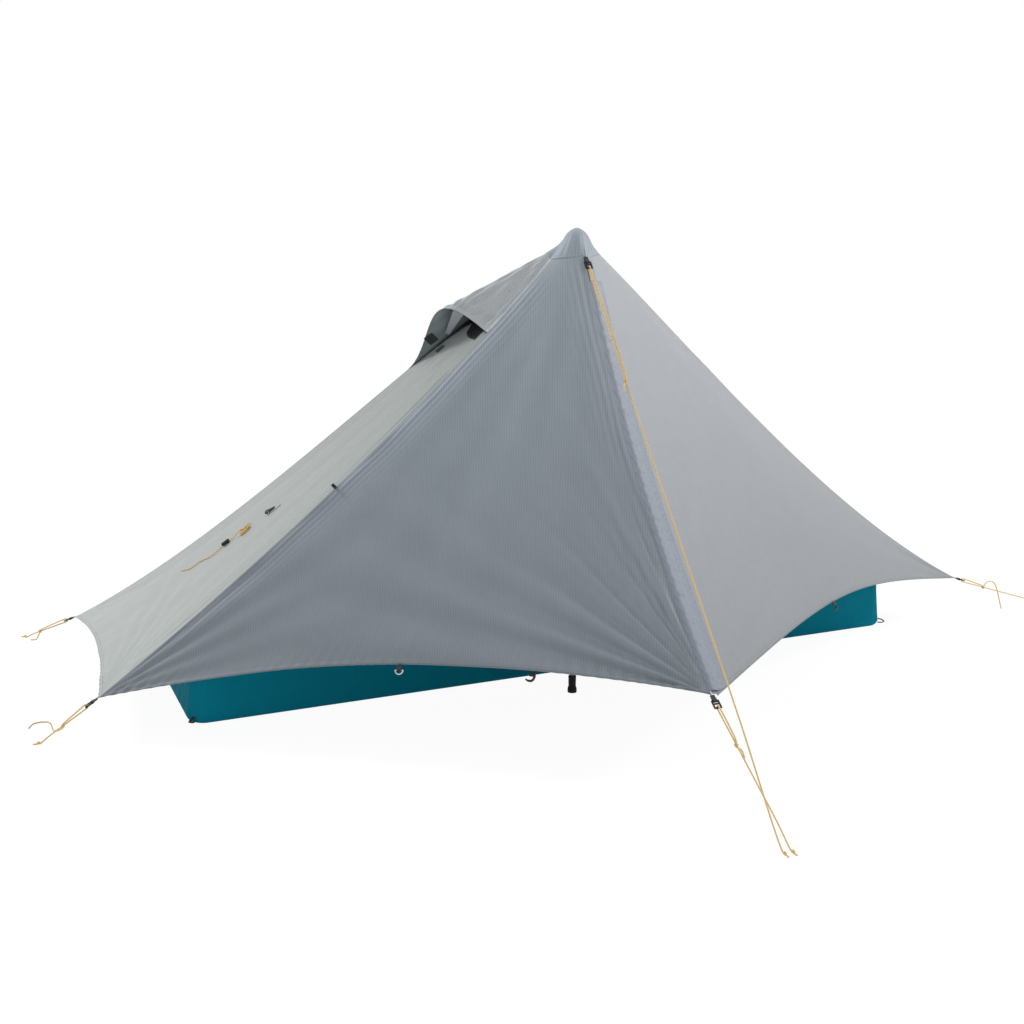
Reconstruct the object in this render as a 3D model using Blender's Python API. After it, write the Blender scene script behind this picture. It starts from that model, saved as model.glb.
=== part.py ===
"""A one-person tent pitched on a single trekking pole.

Six ridges run from a ring at the peak to six tie-outs. Fabric panels hang between them, a zipped
door opens in the front, and a bathtub floor with mesh walls hangs inside.
Frame: origin at the pole's foot on the ground, +X to the head end, +Y to the back, +Z up.
"""

import math

import bmesh
import bpy
from mathutils import Matrix, Vector

# General
GAP = 0.0003
SEAM_GAP = 0.0005
CANOPY_THICKNESS = 0.0008
MESH_THICKNESS = 0.0006
MESH_DROP = 0.0012
PROBE = 0.0005

# Peak
RING_RADIUS = 0.034
RING_HEIGHT = 1.187
CAP_RISE = 0.038
CAP_THICKNESS = 0.0012
RING_FADE_SHARE = 12.0

# Tie-outs: reach along X, depth along Y, rise above the ground
FRONT_REACH = 0.706
FRONT_RISE = 0.234
FOOT_FRONT_REACH = 1.210
FOOT_FRONT_DEPTH = 0.162
FOOT_FRONT_RISE = 0.105
FOOT_BACK_REACH = 1.182
FOOT_BACK_DEPTH = 0.960
FOOT_BACK_RISE = 0.080
HEAD_FRONT_REACH = 1.386
HEAD_FRONT_DEPTH = 0.118
HEAD_FRONT_RISE = 0.134
HEAD_BACK_REACH = 1.360
HEAD_BACK_DEPTH = 0.960
HEAD_BACK_RISE = 0.100
BACK_OFFSET = 0.080
BACK_DEPTH = 1.160
BACK_RISE = 0.100

# How far each ridge hangs below its chord, and the power that moves the lowest point along it
FRONT_SAG = 0.050
FOOT_FRONT_SAG = 0.053
FOOT_FRONT_SAG_SHARE = 0.815
FOOT_BACK_SAG = 0.046
FOOT_BACK_SAG_SHARE = 1.97
HEAD_FRONT_SAG = 0.069
HEAD_FRONT_SAG_SHARE = 1.44
BACK_SAG = 0.050
BACK_SAG_SHARE = 1.2

# Hems: how much of the panel's length the curve takes away at mid width, and its lean
FRONT_LEFT_HEM_SHARE = 0.075
FRONT_LEFT_LEAN_SHARE = -0.20
FRONT_RIGHT_HEM_SHARE = 0.075
FRONT_RIGHT_LEAN_SHARE = 0.33
FOOT_HEM_SHARE = 0.027
FOOT_LEAN_SHARE = -0.13
HEAD_HEM_SHARE = 0.030
BACK_HEM_SHARE = 0.080

# Door, zip and storm flap, measured across from the front ridge
DOOR_SHARE = 0.62
ZIP_TILT = math.radians(27.5)
TAPE_WIDTH = 0.008
TAPE_THICKNESS = 0.0008
COIL_WIDTH = 0.004
COIL_THICKNESS = 0.0016
ZIP_TOP_SHARE = 0.085
ZIP_FOOT_SHARE = 0.975
SLIDER_REST_SHARE = 0.94
SLIDER_LENGTH = 0.011
SLIDER_WIDTH = 0.009
SLIDER_THICKNESS = 0.0032

# The slider and its pull from the top down: place along it, breadth, underside and top
SLIDER_SHARES = (
    (0.0, 0.62, 0.0, 0.55),
    (0.3, 0.95, 0.0, 1.0),
    (0.7, 1.0, 0.0, 1.0),
    (1.0, 0.8, 0.0, 0.8),
    (1.1, 0.45, 0.3, 0.75),
    (1.7, 0.42, 0.35, 0.70),
    (2.2, 0.55, 0.35, 0.70),
    (2.5, 0.40, 0.35, 0.70),
)

# Storm flap over the zip
FLAP_START = 0.002
FLAP_RISE = 0.0076
FLAP_THICKNESS = 0.0008
FLAP_TOP_WIDTH = 0.046
FLAP_FOOT_WIDTH = 0.080

# Peak vent on the foot panel
LIP_NEAR_SHARE = 0.167
LIP_FAR_SHARE = 0.115
LIP_BEND_SHARE = 3.3
HOOD_RISE = 0.094
HOOD_NEAR_SHARE = 0.908
HOOD_FAR_POWER_SHARE = 1.62
HOOD_NEAR_POWER_SHARE = 2.15
TUCK_SHARE = 0.055
TUCK_START_SHARE = 0.018
TUCK_SPAN_SHARE = 0.75
TUCK_FAR_POWER_SHARE = 0.5
TUCK_NEAR_POWER_SHARE = 2.8
VENT_MESH_TOP_SHARE = 0.10
VENT_MESH_SPAN_SHARES = (1 / 12, 10 / 12)
PROP_DEPTH = 0.0040
PROP_FOOT_DEPTH = 0.017
PROP_FOOT_WIDTH = 0.012
PROP_THICKNESS = 0.0016
PROP_LIP_SHARES = (0.517, 0.612)
PROP_FOOT_PLACE_SHARES = (0.125, 0.207)
PATCH_LENGTH = 0.026
PATCH_WIDTH = 0.016
PATCH_THICKNESS = 0.0014
PANEL_PATCH_PLACE_SHARES = (0.18, 0.229)
HOOD_CLEAR = 0.0042
HOOD_PATCH_PLACE_SHARES = (0.134, 0.2275)

# Webbing and line adjusters
WEBBING_WIDTH = 0.011
WEBBING_THICKNESS = 0.0012
WEBBING_SEWN = 0.006
WEBBING_LENGTH = 0.016
WEBBING_SLIT = 0.0010
PEAK_TAB_SHARE = 0.030
ADJUSTER_WIDTH = 0.019
ADJUSTER_THICKNESS = 0.0032
ADJUSTER_BAR = 0.003
ADJUSTER_WEBBING_SLOT = 0.0045
ADJUSTER_CORD_SLOT = 0.0075

# Guylines
CORD_DIAMETER = 0.0028
CORD_BEND = 0.0046
CORD_SPACING = 0.0340
KNOT_PITCH = 0.0040
END_KNOT_RADIUS = 0.0022
END_KNOT_PITCH = 0.0034
END_TIP = 0.010
END_KNOT_TURNS = 2
END_KNOT_STEPS = 8
STAKE_SPREAD = 0.010
FRONT_STAKE_REACH = 1.034
FOOT_FRONT_STAKE_REACH = 1.367
FOOT_FRONT_STAKE_DEPTH = 0.183
FOOT_BACK_STAKE_REACH = 1.330
FOOT_BACK_STAKE_DEPTH = 1.080
HEAD_FRONT_STAKE_REACH = 1.780
HEAD_FRONT_STAKE_DEPTH = 0.145
FREE_TIE_DROP_SHARE = 0.35
TAIL_LENGTH = 0.100

# Each guyline: its knot's place along the line, and its tail from the knot on as shares of the
# tail's length: onward, sideways and up from the knot, or None where it lies on the ground
GUYLINE_SHARES = {
    "peak": (0.22, ((0.10, -0.08, -0.12), (0.18, -0.12, -0.28))),
    "front": (0.258, ((0.08, 0.10, -0.14), (0.16, 0.14, -0.30))),
    "foot_front": (0.498, (
        (0.30, -0.80, None), (0.46, -1.42, None), (0.78, -1.43, None), (0.91, -1.12, None),
    )),
    "foot_back": (0.64, ((0.10, 0.12, None), (0.22, 0.20, None))),
    "head_front": (0.258, ((0.25, 0.05, 0.12), (0.55, 0.05, 0.05), (1.0, 0.08, None))),
}

# Hem hardware and the tab on the foot ridge
HEM_CLEAR = 0.0010
HOOK_LENGTH = 0.024
HOOK_WIDTH = 0.015
HOOK_THICKNESS = 0.0028
HOOK_LEFT_SHARE = 0.728
HOOK_RIGHT_SHARE = 0.783
RING_PLACE_SHARE = 0.495
RING_STRAP_LENGTH = 0.014
HEM_RING_RADIUS = 0.0095
HEM_RING_WIRE = 0.0022
RIDGE_TAB_SHARE = 0.496

# Side guyout with its wound cord, on the foot panel
SIDE_ACROSS_SHARE = 0.487
SIDE_DOWN_SHARE = 0.584
SIDE_PATCH_LENGTH = 0.034
SIDE_PATCH_WIDTH = 0.026
HANK_LOOPS = 4
HANK_STEPS = 24
HANK_INNER_RADIUS = 0.0060
HANK_LENGTH = 0.010
HANK_CLEAR = 0.0007
HANK_CLEARANCE = 0.0010
HANK_PLACE_SHARES = (0.462, 0.645)
SIDE_WEBBING_LENGTH = 0.026
SIDE_LIFT_SHARE = 0.15
SIDE_LOCK_WIDTH = 0.012
SIDE_LOCK_HEIGHT = 0.010
SIDE_TAIL_PLACE_SHARES = (
    (0.4300, 0.6760),
    (0.4250, 0.6900),
    (0.4290, 0.7010),
    (0.4326, 0.7173),
    (0.3850, 0.7383),
    (0.3800, 0.7567),
    (0.3157, 0.7737),
)

# Floor
FLOOR_FOOT = 0.994
FLOOR_HEAD = 1.148
FLOOR_FRONT = 0.150
FLOOR_BACK = 0.820
FLOOR_CORNER_RADIUS = 0.050
FLOOR_WALL = 0.135
FLOOR_THICKNESS = 0.0012
FLOOR_LEAN = 0.010
FLOOR_CHINE = 0.012
TAB_LENGTH = 0.022
TAB_HEIGHT = 0.016

# Inner mesh
WALL_PEAK_DEPTH = 0.055
WALL_TOP_SHARE = 0.085
WALL_END_SHARE = 0.80
DOORWAY_FIRST = 10
DOORWAY_LAST = 15
SKIRT_SHARE = 0.82
SKIRT_END_SHARE = 0.93
ROLL_RADIUS = 0.014

# Trekking pole
UPPER_RADIUS = 0.009
MIDDLE_RADIUS = 0.008
LOWER_RADIUS = 0.007
SHAFT_WALL = 0.0007
UPPER_LENGTH = 0.440
MIDDLE_LENGTH = 0.490
LOWER_LENGTH = 0.500
FOOT_HEIGHT = 0.045
FOOT_RADIUS = 0.0125
FOOT_SEAT = 0.014
BASKET_RADIUS = 0.028
BASKET_HEIGHT = 0.062
BASKET_THICKNESS = 0.003
COLLAR_HEIGHT = 0.036
COLLAR_LIP = 0.006
COLLAR_WALL = 0.0040
LEVER_THICKNESS = 0.0030
LEVER_HEIGHT = 0.020
LEVER_EYE = 0.0036
LEVER_SWEEP = math.radians(125)
GRIP_LENGTH = 0.135
GRIP_RADIUS = 0.0165
GRIP_WAIST_RADIUS = 0.0145
GRIP_BORE_ROOF = 0.0298
STRAP_WIDTH = 0.013
STRAP_THICKNESS = 0.0016
STRAP_DROP = 0.105
STRAP_REACH = 0.030


def clear_scene():
    for item in list(bpy.data.objects):
        bpy.data.objects.remove(item, do_unlink=True)


def material(name, color, roughness, metallic=0.0):
    made = bpy.data.materials.new(name)
    made.use_nodes = True
    shader = made.node_tree.nodes["Principled BSDF"]
    shader.inputs["Base Color"].default_value = (*color, 1.0)
    shader.inputs["Roughness"].default_value = roughness
    shader.inputs["Metallic"].default_value = metallic
    return made


def finish_object(name, mesh, stuff, smooth=True):
    """Turns a bmesh into a named object with its faces pointing out."""
    bmesh.ops.recalc_face_normals(mesh, faces=mesh.faces)
    data = bpy.data.meshes.new(name)
    mesh.to_mesh(data)
    mesh.free()
    if smooth:
        data.shade_smooth()
        data.set_sharp_from_angle(angle=math.radians(40))
    data.materials.append(stuff)
    made = bpy.data.objects.new(name, data)
    bpy.context.scene.collection.objects.link(made)
    return made


def set_pivot(pieces, point, label):
    """Hangs the pieces on an empty that stands on their joint's axis."""
    empty = bpy.data.objects.new(label, None)
    empty.location = point
    bpy.context.scene.collection.objects.link(empty)
    for piece in pieces:
        piece.data.transform(Matrix.Translation(-point))
        piece.parent = empty
    return empty


def add_shell(mesh, outer, inner, holes=()):
    """Adds a sheet between two grids of points, leaving out the cells in holes."""
    columns = len(outer) - 1
    rows = len(outer[0]) - 1
    skipped = set(holes)
    cells = {(i, j) for i in range(columns) for j in range(rows)} - skipped
    used = {(i + a, j + b) for i, j in cells for a in (0, 1) for b in (0, 1)}
    front = {key: mesh.verts.new(outer[key[0]][key[1]]) for key in sorted(used)}
    back = {key: mesh.verts.new(inner[key[0]][key[1]]) for key in sorted(used)}
    for i, j in sorted(cells):
        ring = [(i, j), (i + 1, j), (i + 1, j + 1), (i, j + 1)]
        corners = [Vector(outer[a][b]) for a, b in ring]
        first = 1 if (corners[0] - corners[2]).length > (corners[1] - corners[3]).length else 0
        turned_ring = ring[first:] + ring[:first]
        for triangle in (turned_ring[:3], turned_ring[2:] + turned_ring[:1]):
            mesh.faces.new([front[key] for key in triangle])
            mesh.faces.new([back[key] for key in reversed(triangle)])
        beside = [(i, j - 1), (i + 1, j), (i, j + 1), (i - 1, j)]
        for step, other in enumerate(beside):
            if other in cells:
                continue
            start, end = ring[step], ring[(step + 1) % 4]
            mesh.faces.new([front[start], back[start], back[end], front[end]])


def shell(name, outer, inner, stuff, holes=()):
    mesh = bmesh.new()
    add_shell(mesh, outer, inner, holes)
    return finish_object(name, mesh, stuff)


def add_ring_plate(mesh, outer, inner, across):
    """Adds a flat ring between two loops of as many points, made thick along across."""
    near = [[mesh.verts.new(p - across / 2) for p in loop] for loop in (outer, inner)]
    far = [[mesh.verts.new(p + across / 2) for p in loop] for loop in (outer, inner)]
    count = len(outer)
    for k in range(count):
        n = (k + 1) % count
        mesh.faces.new([near[0][k], near[0][n], near[1][n], near[1][k]])
        mesh.faces.new([far[0][k], far[1][k], far[1][n], far[0][n]])
        mesh.faces.new([near[0][k], far[0][k], far[0][n], near[0][n]])
        mesh.faces.new([near[1][k], near[1][n], far[1][n], far[1][k]])


def add_prism(mesh, outline, across):
    """Adds a solid of one outline made thick along across."""
    near = [mesh.verts.new(p - across / 2) for p in outline]
    far = [mesh.verts.new(p + across / 2) for p in outline]
    mesh.faces.new(near)
    mesh.faces.new(list(reversed(far)))
    for k, vert in enumerate(near):
        n = (k + 1) % len(near)
        mesh.faces.new([near[n], vert, far[k], far[n]])


def prism(name, outline, across, stuff):
    mesh = bmesh.new()
    add_prism(mesh, outline, across)
    return finish_object(name, mesh, stuff)


def turned_mesh(profile, segments, closed):
    """A bmesh turned about Z. A closed profile makes a ring, an open one starts and ends on the axis."""
    mesh = bmesh.new()
    loops = []
    for radius, height in profile:
        if radius == 0:
            loops.append([mesh.verts.new((0, 0, height))] * segments)
            continue
        turn = [2 * math.pi * k / segments for k in range(segments)]
        loops.append([mesh.verts.new((radius * math.cos(a), radius * math.sin(a), height)) for a in turn])
    pairs = list(zip(loops, loops[1:]))
    if closed:
        pairs.append((loops[-1], loops[0]))
    for lower, upper in pairs:
        for k in range(segments):
            n = (k + 1) % segments
            corners = []
            for vert in (lower[k], lower[n], upper[n], upper[k]):
                if vert not in corners:
                    corners.append(vert)
            mesh.faces.new(corners)
    return mesh


def turned(name, profile, segments, stuff, closed=False):
    return finish_object(name, turned_mesh(profile, segments, closed), stuff)


def polar(radius, azimuth, height):
    return Vector((radius * math.cos(azimuth), radius * math.sin(azimuth), height))


class Ridge:
    """A seam from the peak ring to a tie-out that hangs below its chord."""

    def __init__(self, tie, sag, power):
        self.tie = tie
        self.sag = sag
        self.power = power
        self.start = polar(RING_RADIUS, math.atan2(tie.y, tie.x), RING_HEIGHT)
        self.patches = [None, None]

    def at(self, v):
        deepest = (self.power / (self.power + 1)) ** self.power / (self.power + 1)
        drop = self.sag * v**self.power * (1 - v) / deepest
        return self.start.lerp(self.tie, v) - Vector((0, 0, drop))

    def mitre(self, v):
        """The direction that both panels at this seam are made thick along."""
        before, after = self.patches
        first = before.normal(1, v)
        middle = (first + after.normal(0, v)).normalized()
        return middle / middle.dot(first)


class ArcRidge(Ridge):
    """The front ridge: a true arc in the plane X = 0, so that the zip's slider can run along it."""

    def __init__(self, tie, sag):
        super().__init__(tie, sag, 1)
        chord = self.tie - self.start
        self.along = chord.normalized()
        self.outward = Vector((0, self.along.z, -self.along.y))
        self.radius = chord.length**2 / (8 * sag) + sag / 2
        self.centre = self.start.lerp(self.tie, 0.5) + self.outward * (self.radius - sag)
        self.half_angle = math.asin(chord.length / 2 / self.radius)

    def spoke(self, v):
        angle = (2 * v - 1) * self.half_angle
        return math.sin(angle) * self.along - math.cos(angle) * self.outward

    def at(self, v):
        return self.centre + self.radius * self.spoke(v)

    def strip(self, v, width, height):
        """A point beside the ridge: width across towards the door, height out of the fabric."""
        sideways = width * math.cos(ZIP_TILT) + height * math.sin(ZIP_TILT)
        inward = width * math.sin(ZIP_TILT) - height * math.cos(ZIP_TILT)
        return self.centre + (self.radius + inward) * self.spoke(v) + Vector((sideways, 0, 0))

    def strip_normal(self, v):
        return Vector((math.sin(ZIP_TILT), 0, 0)) - math.cos(ZIP_TILT) * self.spoke(v)


class StripEdge(Ridge):
    """The line where the door panel meets its zip tape."""

    def __init__(self, arc, width):
        super().__init__(arc.tie, arc.sag, 1)
        self.arc = arc
        self.width = width

    def at(self, v):
        return self.arc.strip(v, self.width, 0)


class Patch:
    """Fabric between two ridges: u runs across, counter-clockwise from above, and v down to the hem."""

    def __init__(self, first, last, hem=0.0, lean=0.0, hem_span=(0.0, 1.0)):
        self.first = first
        self.last = last
        self.hem_depth = hem
        self.lean = lean
        self.hem_span = hem_span
        first.patches[1] = self
        last.patches[0] = self

    def at(self, u, v):
        top_first, top_last = self.first.at(0), self.last.at(0)
        turn_first = math.atan2(top_first.y, top_first.x)
        turn_last = math.atan2(top_last.y, top_last.x)
        turn = (turn_last - turn_first) % (2 * math.pi) * u + turn_first
        radius = (1 - u) * top_first.xy.length + u * top_last.xy.length
        chord = top_first.lerp(top_last, u)
        bulge = polar(radius, turn, chord.z) - chord
        return self.first.at(v).lerp(self.last.at(v), u) + bulge * (1 - v) ** RING_FADE_SHARE

    def normal(self, u, v):
        low, high = max(v - PROBE, 0), min(v + PROBE, 1)
        down = self.at(u, high) - self.at(u, low)
        across = self.at(u + PROBE, v) - self.at(u - PROBE, v)
        return down.cross(across).normalized()

    def lifted(self, u, v, height):
        return self.at(u, v) + self.normal(u, v) * height

    def hem(self, u):
        whole = self.hem_span[0] + (self.hem_span[1] - self.hem_span[0]) * u
        return 1 - self.hem_depth * 4 * whole * (1 - whole) * (1 + self.lean * (2 * whole - 1))


def evenly(count, start=0, end=1):
    return [start + (end - start) * k / count for k in range(count + 1)]


def panel(name, patch, places, rows, stuff, top=None, foot=None, lift=None, thickness=CANOPY_THICKNESS):
    """A sheet of fabric with columns at the given places on a patch, mitred where it meets a seam."""
    outer, inner = [], []
    for i, u in enumerate(places):
        v_top = top(u) if top else 0
        v_foot = foot(u) if foot else patch.hem(u)
        outer.append([])
        inner.append([])
        for j in range(rows + 1):
            v = v_top + (v_foot - v_top) * j / rows
            point = patch.lifted(u, v, lift(u, v) if lift else 0)
            inward = lifted_normal(patch, lift, u, v) if lift else patch.normal(u, v)
            if u == 0:
                inward = patch.first.mitre(v)
                point = point + edge_direction(patch, u, v) * SEAM_GAP / 2
            if u == 1:
                inward = patch.last.mitre(v)
                point = point - edge_direction(patch, u, v) * SEAM_GAP / 2
            outer[i].append(point)
            inner[i].append(point - inward * thickness)
    return shell(name, outer, inner, stuff)


def lifted_normal(patch, lift, u, v):
    """The way out of a surface that stands out of a patch by lift."""
    def place(a, b):
        return patch.lifted(a, b, lift(a, b))

    low = max(v - PROBE, 0)
    down = place(u, v + PROBE) - place(u, low)
    across = place(u + PROBE, v) - place(u - PROBE, v)
    return down.cross(across).normalized()


def edge_direction(patch, u, v):
    """The way across a panel at its edge, square to the ridge."""
    low, high = max(v - PROBE, 0), min(v + PROBE, 1)
    along = (patch.at(u, high) - patch.at(u, low)).normalized()
    across = patch.at(u + PROBE, v) - patch.at(u - PROBE, v)
    return (across - along * across.dot(along)).normalized()


def strip(name, arc, widths, heights, thickness, stuff, top, foot, rows):
    """A sheet beside the front ridge, between two widths and at two heights."""
    outer, inner = [], []
    for width, height in zip(widths, heights):
        places = [top + (foot - top) * j / rows for j in range(rows + 1)]
        outer.append([arc.strip(v, width, height) for v in places])
        inner.append([arc.strip(v, width, height - thickness) for v in places])
    return shell(name, outer, inner, stuff)


def tie_frame(tie, toward):
    """Axes at a tie-out: along the line, level across it, and up out of it."""
    along = (toward - tie).normalized()
    across = Vector((0, 0, 1)).cross(along).normalized()
    return along, across, along.cross(across)


def webbing_outline(base, along, up, length):
    """The outer and inner loops of a webbing strap folded round a bar at its far end."""
    inner_radius = ADJUSTER_BAR * math.sqrt(0.5) + GAP
    outer_radius = inner_radius + WEBBING_THICKNESS
    outer = [base + up * WEBBING_THICKNESS, base - up * WEBBING_THICKNESS]
    inner = [base + along * WEBBING_SEWN, base + along * WEBBING_SEWN]
    steps = 8
    for k in range(steps + 1):
        angle = -math.pi / 2 + math.pi * k / steps
        way = along * math.cos(angle) + up * math.sin(angle)
        outer.append(base + along * length + way * outer_radius)
        inner.append(base + along * length + way * inner_radius)
    inner[0] = base + along * WEBBING_SEWN + up * WEBBING_SLIT / 2
    inner[1] = base + along * WEBBING_SEWN - up * WEBBING_SLIT / 2
    return outer, inner


def adjuster_grid(centre, along, across):
    """Corner points of a ladder-shaped line adjuster, from its webbing bar to its cord bar."""
    steps = [0, ADJUSTER_BAR, ADJUSTER_WEBBING_SLOT, ADJUSTER_BAR, ADJUSTER_CORD_SLOT, ADJUSTER_BAR]
    places = [sum(steps[: k + 1]) - ADJUSTER_BAR / 2 for k in range(len(steps))]
    half = ADJUSTER_WIDTH / 2
    sides = [-half, ADJUSTER_BAR - half, half - ADJUSTER_BAR, half]
    return [[centre + along * x + across * y for y in sides] for x in places]


def cord_bar_place():
    return ADJUSTER_WEBBING_SLOT + ADJUSTER_CORD_SLOT + 2 * ADJUSTER_BAR


def tie_webbing(name, tie, toward, webbing):
    """The webbing at one tie-out. Gives the place of its far loop and the axes."""
    along, across, up = tie_frame(tie, toward)
    base = tie + along * GAP
    mesh = bmesh.new()
    outer, inner = webbing_outline(base, along, up, WEBBING_LENGTH)
    add_ring_plate(mesh, outer, inner, across * WEBBING_WIDTH)
    finish_object(name + "_webbing", mesh, webbing)
    return base + along * WEBBING_LENGTH, (along, across, up)


def tie_out(name, tie, toward, webbing, plastic):
    """Webbing and adjuster at one tie-out. Gives the place of the cord bar and the axes."""
    bar, (along, across, up) = tie_webbing(name, tie, toward, webbing)
    mesh = bmesh.new()
    grid = adjuster_grid(bar, along, across)
    half = up * ADJUSTER_THICKNESS / 2
    raised = [[p + half for p in row] for row in grid]
    lowered = [[p - half for p in row] for row in grid]
    add_shell(mesh, raised, lowered, holes=[(1, 1), (3, 1)])
    finish_object(name + "_adjuster", mesh, plastic)
    return bar + along * cord_bar_place(), (along, across, up)


def smooth_route(points, spacing):
    """A centripetal curve through the points, cut into steps no longer than the spacing."""
    ends = [2 * points[0] - points[1], *points, 2 * points[-1] - points[-2]]
    route = [points[0]]
    for a, b, c, d in zip(ends, ends[1:], ends[2:], ends[3:]):
        knots = [0.0]
        for start, end in ((a, b), (b, c), (c, d)):
            knots.append(knots[-1] + math.sqrt((end - start).length))
        count = max(1, math.ceil((c - b).length / spacing))
        for k in range(1, count + 1):
            t = knots[1] + (knots[2] - knots[1]) * k / count
            route.append(blend_four((a, b, c, d), knots, t))
    return route


def blend_four(points, knots, t):
    """The point at t of the centripetal curve that passes through the two middle points."""
    first = [blend_two(points[k], points[k + 1], knots[k], knots[k + 1], t) for k in range(3)]
    second = [blend_two(first[k], first[k + 1], knots[k], knots[k + 2], t) for k in range(2)]
    return blend_two(second[0], second[1], knots[1], knots[2], t)


def blend_two(first, last, start, end, t):
    share = (t - start) / (end - start)
    return first.lerp(last, share)


def tube(name, route, diameter, stuff, resolution=2):
    """A solid cord along the route, as one curve with a round bevel and filled caps."""
    curve = bpy.data.curves.new(name, "CURVE")
    curve.dimensions = "3D"
    curve.bevel_depth = diameter / 2
    curve.bevel_resolution = resolution
    curve.use_fill_caps = True
    spline = curve.splines.new("POLY")
    spline.points.add(len(route) - 1)
    for point, place in zip(spline.points, route):
        point.co = (*place, 1)
    curve.materials.append(stuff)
    made = bpy.data.objects.new(name, curve)
    bpy.context.scene.collection.objects.link(made)
    return made


def knot_turns(centre, along, across, up, turns, steps):
    """Turns of the working end round the standing part, advancing along it."""
    radius = CORD_DIAMETER + 2 * GAP
    places = []
    for k in range(int(turns * steps) + 1):
        angle = math.pi / 2 + 2 * math.pi * k / steps
        way = across * math.cos(angle) + up * math.sin(angle)
        places.append(centre + way * radius + along * (KNOT_PITCH * k / steps))
    return places


def guyline(name, bar, axes, stake, knot_share, tail_shares, stuff):
    """One guyline: tail, knot, up through the adjuster, back down and to the knot at its end."""
    along, across, up = axes
    turn = []
    for k in range(5):
        angle = math.pi / 2 + math.pi * k / 4
        turn.append(bar + (along * math.cos(angle) + up * math.sin(angle)) * CORD_BEND)
    level = along.xy.normalized().to_3d()
    reach = END_TIP + END_KNOT_PITCH * END_KNOT_TURNS
    neck = stake - level * reach + Vector((0, 0, END_KNOT_RADIUS))
    way = (neck - turn[-1]).normalized()
    side = Vector((0, 0, 1)).cross(way).normalized()
    knot = turn[-1].lerp(neck, knot_share)
    turns = knot_turns(knot, way, side, way.cross(side), 1.5, 8)
    tail = []
    for onward, sideways, rise in tail_shares:
        point = knot + (level * onward + side * sideways) * TAIL_LENGTH
        floor = on_ground(point.x, point.y)
        tail.append(floor if rise is None else point + Vector((0, 0, TAIL_LENGTH * rise)))
    lead = [turn[-1].lerp(neck, share) for share in (0.2, 0.5, 0.8)]
    beside = Vector((0, 0, 1)).cross(level)
    end_knot = []
    for k in range(END_KNOT_STEPS * END_KNOT_TURNS + 1):
        angle = 2 * math.pi * k / END_KNOT_STEPS
        round_it = beside * math.sin(angle) - Vector((0, 0, 1)) * math.cos(angle)
        end_knot.append(neck + round_it * END_KNOT_RADIUS + level * END_KNOT_PITCH * k / END_KNOT_STEPS)
    points = list(reversed(tail)) + list(reversed(turns)) + turn + lead + end_knot + [stake]
    return tube(name, smooth_route(points, CORD_SPACING), CORD_DIAMETER, stuff)


def on_ground(x, y):
    return Vector((x, y, CORD_DIAMETER / 2 + GAP))


def hank_route(origin, along, across, up):
    """A cord wound in two layers: loops that widen, climb at the outside and draw in again."""
    pitch = CORD_DIAMETER + HANK_CLEAR
    half_turns = HANK_LOOPS / 2
    route = []
    total = HANK_LOOPS * HANK_STEPS
    for k in range(total + 1):
        turn = k / HANK_STEPS
        angle = 2 * math.pi * turn
        out = min(turn, HANK_LOOPS - turn)
        radius = HANK_INNER_RADIUS + pitch * out
        climb = min(max(turn - half_turns + 0.25, 0) / 0.5, 1)
        shift = math.copysign(HANK_LENGTH / 2, math.cos(angle)) if abs(math.cos(angle)) > PROBE else 0
        place = origin + along * (shift + radius * math.cos(angle)) + across * radius * math.sin(angle)
        route.append(place + up * (CORD_DIAMETER / 2 + GAP + climb * pitch))
    return route


def lip(u):
    """How far down the foot panel the hood's lip lies."""
    return LIP_NEAR_SHARE + LIP_FAR_SHARE * max(1 - u, 0) ** LIP_BEND_SHARE


def hump(t, rise, fall):
    """A curve from zero at 0 up to one and back to zero at 1, by its powers at either end."""
    t = min(max(t, 0), 1)
    peak = (rise / (rise + fall)) ** rise * (fall / (rise + fall)) ** fall
    return t**rise * (1 - t) ** fall / peak


def hood_lift(u, v):
    """How far the hood stands out of the foot panel."""
    across = hump(u / HOOD_NEAR_SHARE, HOOD_FAR_POWER_SHARE, HOOD_NEAR_POWER_SHARE)
    return HOOD_RISE * across * v / lip(u)


def panel_top(u):
    """How far down the top edge of the foot panel lies: it is tucked up under the hood."""
    return lip(u) - TUCK_SHARE * hump((u - TUCK_START_SHARE) / TUCK_SPAN_SHARE, TUCK_FAR_POWER_SHARE, TUCK_NEAR_POWER_SHARE)


def vent_mesh_lift(u, v):
    """The mesh runs from the underside of the hood to the top edge of the foot panel."""
    down = (v - VENT_MESH_TOP_SHARE) / (panel_top(u) - VENT_MESH_TOP_SHARE)
    return (1 - down) * (hood_lift(u, VENT_MESH_TOP_SHARE) - HOOD_CLEAR)


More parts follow.
